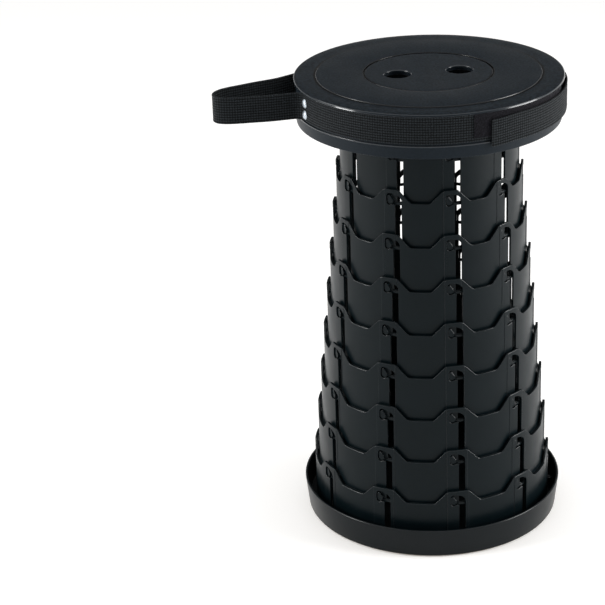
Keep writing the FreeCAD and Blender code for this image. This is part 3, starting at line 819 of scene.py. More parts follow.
@dataclass(frozen=True)
class FuzzyStrip:
    """Brushed loops of a fastener strip, or the hooks that hold in them."""

    name: str
    colour: Triple
    pale: Triple
    tuft: float
    relief: float = 0.6
    shade_band: Band = (0.35, 0.65)
    roughness: Band = (1.0, 0.85)
    specular: float = 0.12
    sheen: float = 0.05

    def make(self, groups: EffectGroups) -> bpy.types.Material:
        """Builds the material.

        Args:
            groups: The shared effects.

        Returns:
            The material.
        """
        material, bench, shader = start_material(self.name)
        scale = 1 / (self.tuft * MM)
        tufts = bench.noise(bench.place(), scale, detail=4.0, roughness=0.75)
        sizes = {"Grain Size": 0.3, "Grain Depth": 0.05, "Mottle Size": 6.0}
        grain = groups.place(bench, Effect.GRAIN, sizes)
        # painted shade: the tufts' colour follows their bump height, darker in the hollows and
        # paler on the tips
        shade = bench.ranged(tufts, self.shade_band)
        bench.feed(shader, {
            "Base Color": bench.mixed(shade, self.colour, self.pale),
            "Roughness": bench.ranged(shade, (0.0, 1.0), self.roughness),
            "Normal": bench.bump(tufts, self.relief * MM, Normal=grain["Normal"]),
            "Specular IOR Level": self.specular,
            "Sheen Weight": self.sheen,
        })
        return material


@dataclass(frozen=True)
class BareMetal:
    """Plated metal with fine scratches."""

    name: str
    colour: Triple
    roughness: float
    dulled: float = 0.8
    spread: float = 0.12

    def make(self, groups: EffectGroups) -> bpy.types.Material:
        """Builds the material.

        Args:
            groups: The shared effects.

        Returns:
            The material.
        """
        material, bench, shader = start_material(self.name)
        sizes = {"Grain Size": 0.5, "Grain Depth": 0.004, "Mottle Size": 3.0}
        grain = groups.place(bench, Effect.GRAIN, sizes)
        dull = tuple(self.dulled * c for c in self.colour)
        ends = self.roughness, self.roughness + self.spread
        bench.feed(shader, {
            "Base Color": bench.mixed(grain["Mottle"], self.colour, dull),
            "Roughness": bench.ranged(grain["Mottle"], (0.0, 1.0), ends),
            "Normal": grain["Normal"],
            "Metallic": 1.0,
        })
        return material


@dataclass
class Workshop:
    """Holds the finishes and puts pieces on their bodies."""

    frame: dict[str, Any]
    groups: EffectGroups = field(default_factory=EffectGroups)
    finishes: dict[Slot, bpy.types.Material] = field(default_factory=dict)

    def mix_finishes(self) -> None:
        """Builds one material for every slot."""
        recipes = {
            Slot.TRAY: MouldedPlastic(
                "tray_black", (0.0034, 0.0052, 0.0062), (0.0056, 0.0078, 0.009),
                roughness=0.34, grain=0.45, specular=0.13, coat=0.6,
            ),
            Slot.RING: MouldedPlastic(
                "ring_black", (0.0014, 0.0042, 0.0054), (0.0032, 0.0068, 0.0084),
            ),
            Slot.SEAT: MouldedPlastic(
                "seat_black", (0.0002, 0.0017, 0.0035), (0.0128, 0.0196, 0.0262),
                roughness=0.4, spread=0.04, grain=2.0, depth=0.04, specular=0.1, edge=0.2,
                dust=0.012, mottle=0.1, polish=0.24, coat_roughness=0.14,
                # painted shade in the groove round the lid and at the foot of the plateau step
                smooth_above=446.9, shaded_grooves=(60.6, 106.8),
            ),
            Slot.WEBBING: WovenWebbing(
                "webbing_black", (0.0112, 0.0142, 0.0162), (0.0001, 0.0003, 0.0004), 2.4, 2.4,
            ),
            Slot.FUZZY: FuzzyStrip(
                "fuzzy_black", (0.0006, 0.0005, 0.001), (0.0075, 0.007, 0.0105), 1.3,
            ),
            Slot.RUBBER: MouldedPlastic(
                "foot_rubber", (0.012, 0.012, 0.012), (0.02, 0.02, 0.019),
                roughness=0.8, spread=0.08, grain=0.8, depth=0.03, specular=0.2, edge=0.1,
                dust=0.03, polish=0.7, coat=0.0, coat_roughness=0.15,
            ),
            Slot.SCREW: BareMetal("screw_steel", (0.55, 0.55, 0.56), 0.3),
            Slot.RIVET: BareMetal("rivet_nickel", (0.52, 0.57, 0.62), 0.42),
        }
        for slot, recipe in recipes.items():
            self.finishes[slot] = recipe.make(self.groups)

    def dress(self, piece: bpy.types.Object, slot: Slot) -> None:
        """Gives a piece its finish."""
        piece.data.materials.clear()
        piece.data.materials.append(self.finishes[slot])

    def fit(self, piece: bpy.types.Object, body: str, slot: Slot, node: str) -> None:
        """Puts a new piece on its body in place of a CAD node.

        Args:
            piece: The finished piece.
            body: Body that it rides on.
            slot: Finish that it takes.
            node: CAD node that it stands for.
        """
        self.dress(piece, slot)
        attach(piece, body)
        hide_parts(node)
        LOG.info("%s on %s: %d faces", piece.name, body, len(piece.data.polygons))

    def keep(self, node: str, slot: Slot) -> None:
        """Keeps a CAD node and gives it a finish."""
        self.dress(self.frame["nodes"][node], slot)
        LOG.info("%s kept", node)


@dataclass
class TelescopeRing:
    """One scalloped ring: ten crests, each over a pocket and a slot, and ten studs at its foot."""

    index: int
    wall: float = 2.4
    step: float = 4.0
    outer_radius: float = 117.4
    height: float = 58.2
    travel: float = 42.5
    lowest: float = 7.7
    relief: float = 0.4
    crest_azimuth: float = 12.6
    crest_drop: float = 12.5
    slope_width: float = 12.2
    valley_share: float = 0.565
    corner_reach: float = 2.2
    valley_rows: Band = (6.5, 3.5)
    pocket_first: float = 10.5
    pocket_turn: float = 0.17
    slot_half: float = 3.2
    slot_offset: float = 8.5
    slot_foot: float = 2.7
    roof_drop: float = 3.8
    floor_drop: float = 15.4
    ledge_rise: float = 0.9
    roof_end_drop: float = 11.0
    skin: float = 0.9
    rim_height: float = 2.2
    rim_gap: float = 0.4
    stud_half: float = 2.8
    stud_height: float = 9.2
    stud_shoulder: float = 0.6
    stud_tip: float = 0.3
    stud_root: float = 0.8
    stud_setback: float = 1.3
    stud_rise: float = 0.6
    boss_offset: float = 2.1
    boss_core: float = 0.01
    boss_radius: float = 3.3
    boss_top: float = 16.8
    edge: float = 0.42
    upright_edge: float = 0.35
    cup_points: int = 7
    fall_points: int = 12
    foot_points: int = 11
    max_step: float = 1.15
    digits: int = 5
    side_step: float = 1e-3

    @property
    def radius(self) -> float:
        """Outer radius over the column pads."""
        return self.outer_radius - (RING_COUNT - self.index) * self.step

    @property
    def bottom(self) -> float:
        """Level of the foot with the stool extended."""
        return self.lowest + (RING_COUNT - self.index) * self.travel

    @property
    def top(self) -> float:
        """Level of the crests."""
        return self.bottom + self.height

    @property
    def start(self) -> float:
        """Azimuth of the valley's middle where a pitch begins."""
        return self.crest_azimuth - PITCH / 2

    @property
    def fixed(self) -> bool:
        """Whether this is the outermost ring, which stands in the tray."""
        return self.index == RING_COUNT

    def azimuth_at(self, index: int) -> float:
        """Azimuth of a ring's first pocket."""
        return self.pocket_first + (RING_COUNT - index) * self.pocket_turn

    def turned(self, across: Any) -> Any:
        """Azimuth of what lies so far across from the first pocket's middle."""
        return self.azimuth_at(self.index) + np.degrees(np.arcsin(np.asarray(across) / self.radius))

    def slope_turns(self) -> Band:
        """Works out how wide half a valley is, and half a valley with its slope.

        A valley takes its share of what the two slopes leave of the pitch, and a width w spans
        asin(w / r).

        Returns:
            Degrees from a valley's middle to the foot and to the top of its slope.
        """
        free = 2 * math.pi * self.radius / COLUMN_COUNT - 2 * self.slope_width
        half = free * self.valley_share / 2
        foot, top = (math.asin(x / self.radius) for x in (half, half + self.slope_width))
        return math.degrees(foot), math.degrees(top)

    def pitch_marks(self, turn: float) -> Band:
        """Azimuths that lie one turn inside both ends of the pitch."""
        return self.start + turn, self.start + PITCH - turn

    def crest_line(self) -> np.ndarray:
        """Top edge over one pitch: flat valley, rounded slope, flat crest and back.

        Returns:
            Array of (azimuth, level).
        """
        foot, top = self.slope_turns()
        low, reach = self.top - self.crest_drop, self.corner_reach
        per_mm = math.radians(1.0) * self.radius
        corners = [
            (0.0, low, 0.0),
            (foot * per_mm, low, reach),
            (top * per_mm, self.top, reach),
            ((PITCH - top) * per_mm, self.top, reach),
            ((PITCH - foot) * per_mm, low, reach),
            (PITCH * per_mm, low, 0.0),
        ]
        line = np.unique(rounded(corners, steps=4, closed=False), axis=0)
        line[:, 0] = self.start + line[:, 0] / per_mm
        return line

    def opening_lines(self) -> tuple[np.ndarray, np.ndarray]:
        """Floor and roof of the opening, measured from the pocket's middle.

        The pocket's cup and the start of the roof are quarter circles, and the roof then falls
        as a quarter ellipse to the slot's right side.

        Returns:
            Two arrays of (across, level).
        """
        r = self.slot_half
        floor = self.top - self.floor_drop
        roof = self.top - self.roof_drop
        end = self.top - self.roof_end_drop
        right = self.slot_offset + r
        ledge_start = r * math.sin(math.acos(1 - self.ledge_rise / r))
        t = np.linspace(0.0, math.pi / 2, self.cup_points)
        cup = np.stack([-r * np.cos(t), floor + r - r * np.sin(t)], axis=1)
        ledge = floor + self.ledge_rise
        flat = np.array([(ledge_start, ledge), (self.slot_offset - r, ledge), (right, ledge)])
        rise = np.stack([-r * np.cos(t), roof - r + r * np.sin(t)], axis=1)
        t = np.linspace(0.0, math.pi / 2, self.fall_points)[1:]
        fall = np.stack([right * np.sin(t), end + (roof - end) * np.cos(t)], axis=1)
        return np.concatenate([cup, flat]), np.concatenate([rise, fall])

    def opening_sides(self) -> tuple[float, float, float, float]:
        """Places the sides of the opening.

        Returns:
            Azimuths of the pocket's left, the keyway's right, and the slot's left and right side.
        """
        half, offset = self.slot_half, self.slot_offset
        left, key, slot, right = self.turned([-half, half, offset - half, offset + half])
        return left, key, slot, right

    def columns(self) -> tuple[np.ndarray, np.ndarray]:
        """Columns of the wall's grid over one pitch, doubled where the wall's radius jumps.

        Returns:
            Their azimuths, and those at which each one's radius is read. The two differ by a
            little step to one side where a column is doubled.
        """
        left, key, *_ = self.opening_sides()
        pad = self.pitch_marks(self.slope_turns()[1])
        openings = [self.turned(line[:, 0]) for line in self.opening_lines()]
        marks = np.concatenate([self.crest_line()[:, 0], *openings, [key, *pad]])
        marks = np.unique(np.round(marks, self.digits))
        gaps = np.diff(np.append(marks, marks[0] + PITCH))
        parts = np.ceil(gaps / self.max_step).astype(int)
        extra = [m + g * np.arange(1, n) / n for m, g, n in zip(marks, gaps, parts) if n > 1]
        marks = np.unique(np.round(np.concatenate([marks, *extra]), self.digits))
        marks = marks[marks < self.start + PITCH - SAME_AZIMUTH]
        azimuth = np.sort(np.concatenate([marks, np.round([*pad, left, key], self.digits)]))
        second = np.append(False, np.diff(azimuth) < SAME_AZIMUTH)
        single = ~(second | np.append(second[1:], False))
        side = np.where(second, self.side_step, -self.side_step)
        return azimuth, np.where(single, azimuth, azimuth + side)

    def levels(self, azimuth: np.ndarray) -> np.ndarray:
        """Level of every column's foot, rim (twice), slot foot, opening floor, roof and crest.

        Args:
            azimuth: Azimuths of the columns.

        Returns:
            Array of shape (columns, 7).
        """
        foot = TRAY_FLOOR_TOP if self.fixed else self.bottom
        rim = foot + self.rim_height
        rows = [np.full_like(azimuth, z) for z in (foot, rim, rim, self.bottom + self.slot_foot)]
        first, last = self.pitch_marks(self.slope_turns()[0])
        for line, drop in zip(self.opening_lines(), self.valley_rows):
            at = [self.start, first, *self.turned(line[:, 0]), last, self.start + PITCH]
            valley = [self.top - self.crest_drop - drop] * 2
            rows.append(np.interp(azimuth, at, [*valley, *line[:, 1], *valley]))
        crest = self.crest_line()
        rows.append(np.interp(azimuth, crest[:, 0], crest[:, 1]))
        return np.stack(rows, axis=1)

    def radii(self, probe: np.ndarray) -> np.ndarray:
        """Outer, middle and inner radius of every column and row.

        Args:
            probe: Azimuths at which the columns' radii are read.

        Returns:
            Array of shape (3, columns, 7).
        """
        r = self.radius
        left, key, *_ = self.opening_sides()
        pad_start, pad_end = self.pitch_marks(self.slope_turns()[1])
        padded = (probe > pad_start) & (probe < pad_end)
        outer = np.repeat(np.where(padded, r, r - self.relief)[:, None], 7, axis=1)
        if not self.fixed:
            outer[:, :2] = r + self.step - self.wall - self.rim_gap
        inner = np.full_like(outer, r - self.wall)
        inner[(probe > left) & (probe < key), :5] = r - self.skin
        return np.stack([outer, np.minimum(outer, r - self.skin), inner])

    def kept_cells(self, azimuth: np.ndarray, probe: np.ndarray) -> np.ndarray:
        """Which cells of the grid are wall: all but those of the opening and its slot.

        Args:
            azimuth: Azimuths of the columns.
            probe: Azimuths at which the columns' radii are read.

        Returns:
            Array of shape (columns, 6).
        """
        left, _, slot, right = self.opening_sides()
        between = (probe + np.append(probe[1:], probe[0] + PITCH)) / 2
        cells = np.ones((len(azimuth), 6), bool)
        cells[(between > left) & (between < right), 4] = False
        cells[(between > slot) & (between < right), 3] = False
        narrow = np.append(np.diff(azimuth) < SAME_AZIMUTH, False)
        cells[narrow & (np.abs(azimuth - left) < self.side_step), 4] = False
        return cells

    def wall_shell(self, shell: Shell) -> None:
        """Adds the slotted wall.

        The wall is a grid over azimuth and level, and the opening is a set of cells left out.
        Outer and inner surfaces have their own radius at every point, and a strip joins them along
        the edge of every cell that is left out.

        Args:
            shell: The shell that takes the wall.
        """
        azimuth, probe = self.columns()
        levels = np.tile(self.levels(azimuth), (COLUMN_COUNT, 1))
        radii = np.tile(self.radii(probe), (1, COLUMN_COUNT, 1))
        cells = np.tile(self.kept_cells(azimuth, probe), (COLUMN_COUNT, 1))
        turns = np.arange(COLUMN_COUNT)[:, None] * PITCH
        layers = plan(radii, (azimuth[None] + turns).reshape(-1, 1), levels)
        count = levels.size
        index = np.arange(count).reshape(levels.shape)
        after = np.roll(index, -1, axis=0)
        quads = np.stack([index[:, :-1], after[:, :-1], after[:, 1:], index[:, 1:]], axis=-1)[cells]
        whole = np.pad(cells, ((0, 0), (1, 1)))
        across = whole[:, 1:] != whole[:, :-1]
        up = cells != np.roll(cells, 1, axis=0)
        a = np.concatenate([index[across], index[:, :-1][up]])
        b = np.concatenate([after[across], index[:, 1:][up]])
        inner = quads[:, ::-1] + 2 * count
        strips = [
            np.stack([a + n, b + n, b + n + count, a + n + count], axis=1) for n in (0, count)
        ]
        shell.add(layers, [quads, inner, *strips])

    def stud_outline(self) -> np.ndarray:
        """Drop shape of a stud: a round foot, an upright left side and a slanting top.

        Returns:
            Array of (across, level).
        """
        half = self.stud_half
        foot = self.bottom + self.stud_rise
        tip = foot + self.stud_height
        shoulder = half * self.stud_shoulder
        t = np.linspace(math.pi, 2 * math.pi, self.foot_points)
        round_foot = np.stack([half * np.cos(t), foot + half + half * np.sin(t)], axis=1)
        corners = [
            (half, foot + half + shoulder, 1.0),
            (-shoulder * self.stud_tip, tip, 0.8),
            (-half, tip - shoulder * self.stud_shoulder, 1.0),
        ]
        return np.concatenate([round_foot, rounded(corners, steps=3, closed=False)])

    def make(self) -> bpy.types.Object:
        """Builds the ring, with studs or, where it stands in the tray, with screw bosses.

        Returns:
            The finished piece.
        """
        shell = Shell()
        self.wall_shell(shell)
        if self.fixed:
            low, high = TRAY_FLOOR_TOP, self.boss_top
            near, far = self.boss_core, self.boss_radius
            boss = [(near, low, 0), (far, low, 0), (far, high, 0.4), (near, high, 0)]
            places = screw_places(self.radius + self.boss_offset, BASE_SCREW_AZIMUTH)
            shell.revolve(rounded(boss, steps=3), segments=BOSS_STEPS, centres=places)
        else:
            root = self.radius - self.stud_root
            reach = self.radius + self.step - self.stud_setback - root
            azimuths = self.azimuth_at(self.index + 1) + np.arange(COLUMN_COUNT) * PITCH
            shell.prisms(self.stud_outline(), root, reach, azimuths)
        name = f"telescope_ring_{self.index}"
        return shell.build(name, bevel=self.edge, upright=self.upright_edge)


@dataclass
class BaseTray:
    """Round tray with a flared wall, a rounded rim, and ribs under its floor."""

    top: float = 30.0
    floor_bottom: float = 4.3
    foot: float = 1.2
    top_radius: float = 128.2
    bottom_radius: float = 124.8
    wall: float = 2.4
    rib: float = 1.8
    rib_root: float = 0.5
    hub_radius: float = 40.0
    belt_radius: float = 84.0
    foot_azimuth: float = 3.4
    screw_circle: float = 119.5
    screw_seat: float = 0.1

    def outer(self, level: float) -> float:
        """Outer radius of the wall at a level."""
        share = (level - self.foot) * (self.top_radius - self.bottom_radius)
        return self.bottom_radius + share / (self.top - self.foot)

    def make(self) -> bpy.types.Object:
        """Builds the tray.

        Returns:
            The finished piece.
        """
        shell = Shell()
        floor, wall = self.floor_bottom, self.wall
        root, bore_end = floor + self.rib_root, TRAY_FLOOR_TOP - self.screw_seat
        corners = [
            (self.outer(floor) - wall, floor, 0.0),
            (self.outer(self.foot) - wall, self.foot, 0.3),
            (self.outer(self.foot), self.foot, 0.9),
            (self.outer(self.top), self.top, 1.15),
            (self.outer(self.top) - wall, self.top, 1.05),
            (self.outer(TRAY_FLOOR_TOP) - wall, TRAY_FLOOR_TOP, 1.2),
            (0.0, TRAY_FLOOR_TOP, 0.0),
        ]
        shell.revolve(rounded(corners, closed=False), closed=False)
        screws = screw_places(self.screw_circle, BASE_SCREW_AZIMUTH)
        shell.plate(floor, self.outer(floor) - wall, [(screws, SINK_RADIUS)])
        sink = np.array([
            (SINK_RADIUS, floor), (BORE_RADIUS, floor + SINK_DEPTH),
            (BORE_RADIUS, bore_end), (0.0, bore_end),
        ])
        shell.revolve(sink, closed=False, segments=HOLE_STEPS, centres=screws)
        for near in (self.hub_radius, self.belt_radius):
            far = near + self.rib
            ring = [(near, self.foot, 0.3), (far, self.foot, 0.3), (far, root, 0), (near, root, 0)]
            shell.revolve(rounded(ring, steps=2))
        half = self.rib / 2
        rib = np.array([(-half, self.foot), (half, self.foot), (half, root), (-half, root)])
        start = self.hub_radius + half
        reach = self.outer(self.foot) - wall / 2 - start
        azimuths = self.foot_azimuth + (np.arange(2 * COLUMN_COUNT) + 0.5) * PITCH / 2
        shell.prisms(rib, start, reach, azimuths)
        return shell.build("tray", sharp=40.0)


@dataclass
class Seat:
    """Seat shell with its rolled rim, strap channel and skirt, and the lid in its middle."""

    radius: float = 127.0
    plateau: float = 105.6
    plateau_rise: float = 0.6
    plateau_slope: float = 0.2
    roll: float = 8.4
    rim_inset: float = 0.6
    rim_fall: float = 0.42
    side_wall: float = 2.2
    lip_radius: float = 126.0
    lip: float = 1.2
    skirt_start: float = 0.3
    skirt_top: float = 125.4
    skirt_bottom: float = 124.816
    skirt_depth: float = 42.8
    skirt_wall: float = 2.0
    shelf: float = 2.4
    recess: float = 61.2
    lid_radius: float = 60.1
    lid_drop: float = 0.3
    lid_edge: float = 6.0
    lid_seat: float = 0.02
    hole_radius: float = 12.5
    hole_offset: float = 29.5
    hole_azimuth: float = 101.5
    hole_bevel: float = 0.7
    hole_flat: float = 0.3
    hole_foot: float = 0.2
    hole_clearance: float = 0.8
    screw_circle: float = 53.0
    screw_azimuth: float = 20.0

    def hole_places(self) -> np.ndarray:
        """Plan points of the two finger holes."""
        azimuth = self.hole_azimuth + np.array([0.0, 180.0])
        return plan(self.hole_offset, azimuth, 0.0)[:, :2]

    def make_shell(self) -> bpy.types.Object:
        """Builds the seat shell as one turned profile, with a pierced shelf under the lid.

        Returns:
            The finished piece.
        """
        shell = Shell()
        band = SEAT_TOP - self.plateau_rise
        shelf_bottom = SEAT_UNDERSIDE - self.shelf
        lip_bottom = CHANNEL_BOTTOM - self.lip
        skirt_foot = SEAT_TOP - self.skirt_depth
        inner_side = CHANNEL_RADIUS - self.side_wall
        corners = [
            (self.recess, SEAT_UNDERSIDE, 0.0),
            (self.recess, SEAT_TOP, 0.3),
            (self.plateau, SEAT_TOP, 0.3),
            (self.plateau + self.plateau_slope, band, 0.15),
            (self.radius - self.roll, band, 3.6),
            (self.radius - self.rim_inset, band - self.rim_fall, 2.4),
            (self.radius, CHANNEL_TOP, 0.3),
            (CHANNEL_RADIUS, CHANNEL_TOP, 0.3),
            (CHANNEL_RADIUS, CHANNEL_BOTTOM, 0.3),
            (self.lip_radius, CHANNEL_BOTTOM, 0.5),
            (self.lip_radius, lip_bottom, 0.6),
            (self.skirt_top, lip_bottom - self.skirt_start, 0.4),
            (self.skirt_bottom, skirt_foot, 0.9),
            (self.skirt_bottom - self.skirt_wall, skirt_foot, 0.4),
            (self.skirt_top - self.skirt_wall, lip_bottom - self.lip, 0.8),
            (inner_side, CHANNEL_BOTTOM, 0.8),
            (inner_side, SEAT_UNDERSIDE, 2.0),
            (self.recess + self.shelf, SEAT_UNDERSIDE, 0.0),
            (self.recess, shelf_bottom, 0.0),
        ]
        shell.revolve(rounded(corners, steps=6, closed=False), closed=False)
        fingers, screws = self.hole_places(), screw_places(self.screw_circle, self.screw_azimuth)
        hole = self.hole_radius + self.hole_clearance
        for level, size in ((SEAT_UNDERSIDE, SINK_RADIUS), (shelf_bottom, BORE_RADIUS)):
            shell.plate(level, self.recess, [(fingers, hole), (screws, size)])
        side = np.array([(hole, SEAT_UNDERSIDE), (hole, shelf_bottom)])
        shell.revolve(side, closed=False, segments=HOLE_STEPS, centres=fingers)
        sink = np.array([
            (SINK_RADIUS, SEAT_UNDERSIDE), (BORE_RADIUS, SEAT_UNDERSIDE - SINK_DEPTH),
            (BORE_RADIUS, shelf_bottom),
        ])
        shell.revolve(sink, closed=False, segments=HOLE_STEPS, centres=screws)
        return shell.build("seat_moulding", sharp=38.0)

    def make_lid(self) -> bpy.types.Object:
        """Builds the lid: a turned edge, and a flat middle pierced by two bevelled finger holes.

        Returns:
            The finished piece.
        """
        shell = Shell()
        under = SEAT_UNDERSIDE + self.lid_seat
        top = SEAT_TOP - self.lid_drop
        middle = self.lid_radius - self.lid_edge
        corners = [
            (middle, top, 0.0),
            (self.lid_radius, top, 1.4),
            (self.lid_radius, under, 0.2),
            (middle, under, 0.0),
        ]
        shell.revolve(rounded(corners, steps=6, closed=False), closed=False)
        places = self.hole_places()
        hole = self.hole_radius
        wide, foot = hole + self.hole_bevel, self.hole_foot
        edge = rounded([
            (wide + self.hole_flat, top, 0.0), (wide, top, 0.2), (hole, top - self.hole_bevel, 0.3),
            (hole, under + foot, 0.2), (hole + foot, under, 0.0),
        ], closed=False)
        shell.plate(top, middle, [(places, wide + self.hole_flat)])
        shell.plate(under, middle, [(places, hole + foot)])
        shell.revolve(edge, closed=False, segments=HOLE_STEPS, centres=places)
        return shell.build("lid", sharp=40.0)


@dataclass
class Strap:
    """Webbing strap round the seat, with a hand loop at its left and a lap at its right front."""

    clearance: float = 0.1
    selvedge: float = 1.2
    selvedge_slope: float = 0.5
    selvedge_step: float = 0.12
    front_start: float = -57.0
    front_end: float = 74.0
    rear_start: float = -99.0
    rear_end: float = -334.2
    arc_step: float = 0.7
    route_step: float = 1.2
    root_overlap: float = 0.1
    root_turn: float = 2.2
    back_overlap: float = 2.0
    lap_start: float = -262.0
    lap_ramp: float = 14.0
    patch_start: float = 18.4
    patch_end: float = 70.0
    fuzz: float = 0.7
    hooks: float = 0.5
    hook_setback: float = 9.0
    hook_margin: float = 1.2
    layer_gap: float = 0.05
    sag_start: float = -267.0
    sag_ramp: float = 17.0
    sag: float = 4.6
    tail_start: float = -321.0
    tail_sag: float = 1.7
    patch_foot: float = 3.3
    patch_width: float = 22.6
    rivet_azimuth: float = -63.6
    rivet_depths: Band = (11.6, 22.5)
    rivet_steps: int = 40
    rivet_profile: tuple[Triple, ...] = (
        (0.0, 2.2, 0.0), (1.8, 2.1, 1.2), (3.4, 1.3, 1.0), (4.3, 0.35, 0.35), (4.2, 0.0, 0.2),
        (1.9, 0.0, 0.0), (1.9, -4.6, 0.0), (0.0, -4.6, 0.0),
    )
    loop_route: tuple[Band, ...] = (
        (5.6, -67.8), (13.6, -68.5), (30.7, -69.1), (50.8, -70.3), (68.6, -71.4), (78.4, -73.2),
        (79.7, -76.2), (72.5, -79.3), (54.2, -82.3), (34.0, -85.6), (17.5, -88.8), (7.3, -92.6),
    )

    @property
    def middle(self) -> float:
        """Radius of the strap's middle where it lies in the channel."""
        return CHANNEL_RADIUS + self.clearance + STRAP_THICKNESS / 2

    def section(self, thickness: float, width: float) -> np.ndarray:
        """Cross-section: a flat band with round selvedges that are a little thicker.

        Args:
            thickness: Thickness at the selvedges.
            width: Width of the band.

        Returns:
            Array of (out, up).
        """
        half, slope = thickness / 2, self.selvedge_slope
        thin = half - self.selvedge_step
        low, high = self.selvedge, width - self.selvedge
        side = [
            (half, 0.0, 0.6), (half, low, 0.5), (thin, low + slope, 0.4),
            (thin, high - slope, 0.4), (half, high, 0.5), (half, width, 0.6),
        ]
        back = [(-out, up, reach) for out, up, reach in side[::-1]]
        return rounded([back[-1], *side, *back[:-1]], steps=3)

    def ribbon(
        self, name: str, route: np.ndarray, thickness: float = STRAP_THICKNESS,
        width: float = STRAP_WIDTH, bottom: float = STRAP_BOTTOM, drop: np.ndarray | None = None,
    ) -> bpy.types.Object:
        """Carries the cross-section along a plan route.

        A section point (out, up) at route point P goes to P + out N + (bottom + up) Z, where N is
        the route's level normal.

        Args:
            name: Name of the piece.
            route: Plan points of the strap's middle.
            thickness: Thickness of the webbing.
            width: Its width.
            bottom: Level of its lower edge.
            drop: Sag of the band at every route point, or None.

        Returns:
            The finished piece.
        """
        section = self.section(thickness, width)
        along = np.gradient(route, axis=0)
        along /= np.linalg.norm(along, axis=1, keepdims=True)
        normal = np.stack([-along[:, 1], along[:, 0]], axis=1)
        steps = np.linalg.norm(np.diff(route, axis=0), axis=1)
        length = np.concatenate([[0.0], np.cumsum(steps)])
        sag = np.zeros(len(route)) if drop is None else drop
        place = route[:, None] + section[None, :, :1] * normal[:, None]
        level = bottom + section[None, :, 1] - sag[:, None]
        points = np.concatenate([place, level[..., None]], axis=2)
        uv = np.stack(np.broadcast_arrays(length[:, None], section[None, :, 1]), axis=-1)
        shell = Shell()
        shell.grid(points, up=True, uv=uv)
        for end in (0, len(route) - 1):
            shell.add(points[end], [np.arange(len(section))[None]], uv[end])
        return shell.build(name, sharp=50.0, keep_uv=True)

    def azimuths(self, start: float, end: float) -> np.ndarray:
        """Azimuths along the seat's side in even steps."""
        return np.linspace(start, end, int(abs(end - start) / self.arc_step) + 2)

    def arc(self, start: float, end: float, radius: Any) -> np.ndarray:
        """Plan points along the seat's side.

        Args:
            start: First azimuth.
            end: Last azimuth.
            radius: Radius, or a function of the azimuth.

        Returns:
            Array of plan points.
        """
        azimuth = self.azimuths(start, end)
        reach = radius(azimuth) if callable(radius) else radius
        return plan(reach, azimuth, 0.0)[:, :2]

    def lap_radius(self, azimuth: np.ndarray) -> np.ndarray:
        """The rear band's radius: it climbs over the patches by a smooth step."""
        rise = STRAP_THICKNESS + self.fuzz + self.hooks + 3 * self.layer_gap
        return self.middle + rise * eased((self.lap_start - azimuth) / self.lap_ramp)

    def lap_drop(self, start: float, end: float) -> np.ndarray:
        """How far the outer end hangs: a smooth step, and a smaller one at its tail.

        Args:
            start: First azimuth.
            end: Last azimuth.

        Returns:
            Array with one drop for every point of that arc.
        """
        azimuth = self.azimuths(start, end)
        lap = eased((self.sag_start - azimuth) / self.sag_ramp)
        tail = eased((self.tail_start - azimuth) / (self.tail_start - self.rear_end))
        return self.sag * lap + self.tail_sag * tail

    def loop_path(self) -> np.ndarray:
        """Carries a spline through the hand loop's points, with a short arc at both its roots.

        Returns:
            Plan points from the root at the front to the root at the back.
        """
        start, end = self.front_start - self.root_overlap, self.rivet_azimuth - self.root_turn
        root = self.arc(start, end, self.middle)[::4]
        near = self.rear_start + self.root_overlap
        back = self.arc(self.rear_start + self.back_overlap, near, self.middle)
        reach, azimuth = np.array(self.loop_route).T
        out = plan(CHANNEL_RADIUS + reach, azimuth, 0.0)[:, :2]
        return smooth_route(np.concatenate([root, out, back]), self.route_step)

    def make_bands(self, shop: Workshop) -> None:
        """Builds the bands, the loop and the patches.

        Args:
            shop: The workshop that fits them.
        """
        front = self.arc(self.front_start, self.front_end, self.middle)
        rear = self.arc(self.rear_start, self.rear_end, self.lap_radius)
        hang = self.lap_drop(self.rear_start, self.rear_end)
        fuzz_face = self.middle + STRAP_THICKNESS / 2 + self.layer_gap
        hook_face = fuzz_face + self.fuzz + self.layer_gap
        hook_start = self.patch_start + self.hook_setback
        fuzz = self.arc(self.patch_start, self.patch_end, fuzz_face + self.fuzz / 2)
        hooks = self.arc(hook_start, self.patch_end, hook_face + self.hooks / 2)
        hook_hang = self.lap_drop(hook_start - FULL_TURN, self.patch_end - FULL_TURN)
        foot, margin = STRAP_BOTTOM + self.patch_foot, self.hook_margin
        pieces = [
            (self.ribbon("strap_front", front), Slot.WEBBING, "strap_front_band"),
            (self.ribbon("strap_rear", rear, drop=hang), Slot.WEBBING, "strap_rear_band"),
            (self.ribbon("hand_loop", self.loop_path()), Slot.WEBBING, "strap_loop"),
            (self.ribbon("fuzzy_patch", fuzz, self.fuzz, self.patch_width, foot),
             Slot.FUZZY, "loop_patch"),
            (self.ribbon("hooked_patch", hooks, self.hooks, STRAP_WIDTH - 2 * margin,
                         STRAP_BOTTOM + margin, hook_hang), Slot.FUZZY, "hook_patch"),
        ]
        for piece, slot, node in pieces:
            shop.fit(piece, Body.SEAT.value, slot, node)

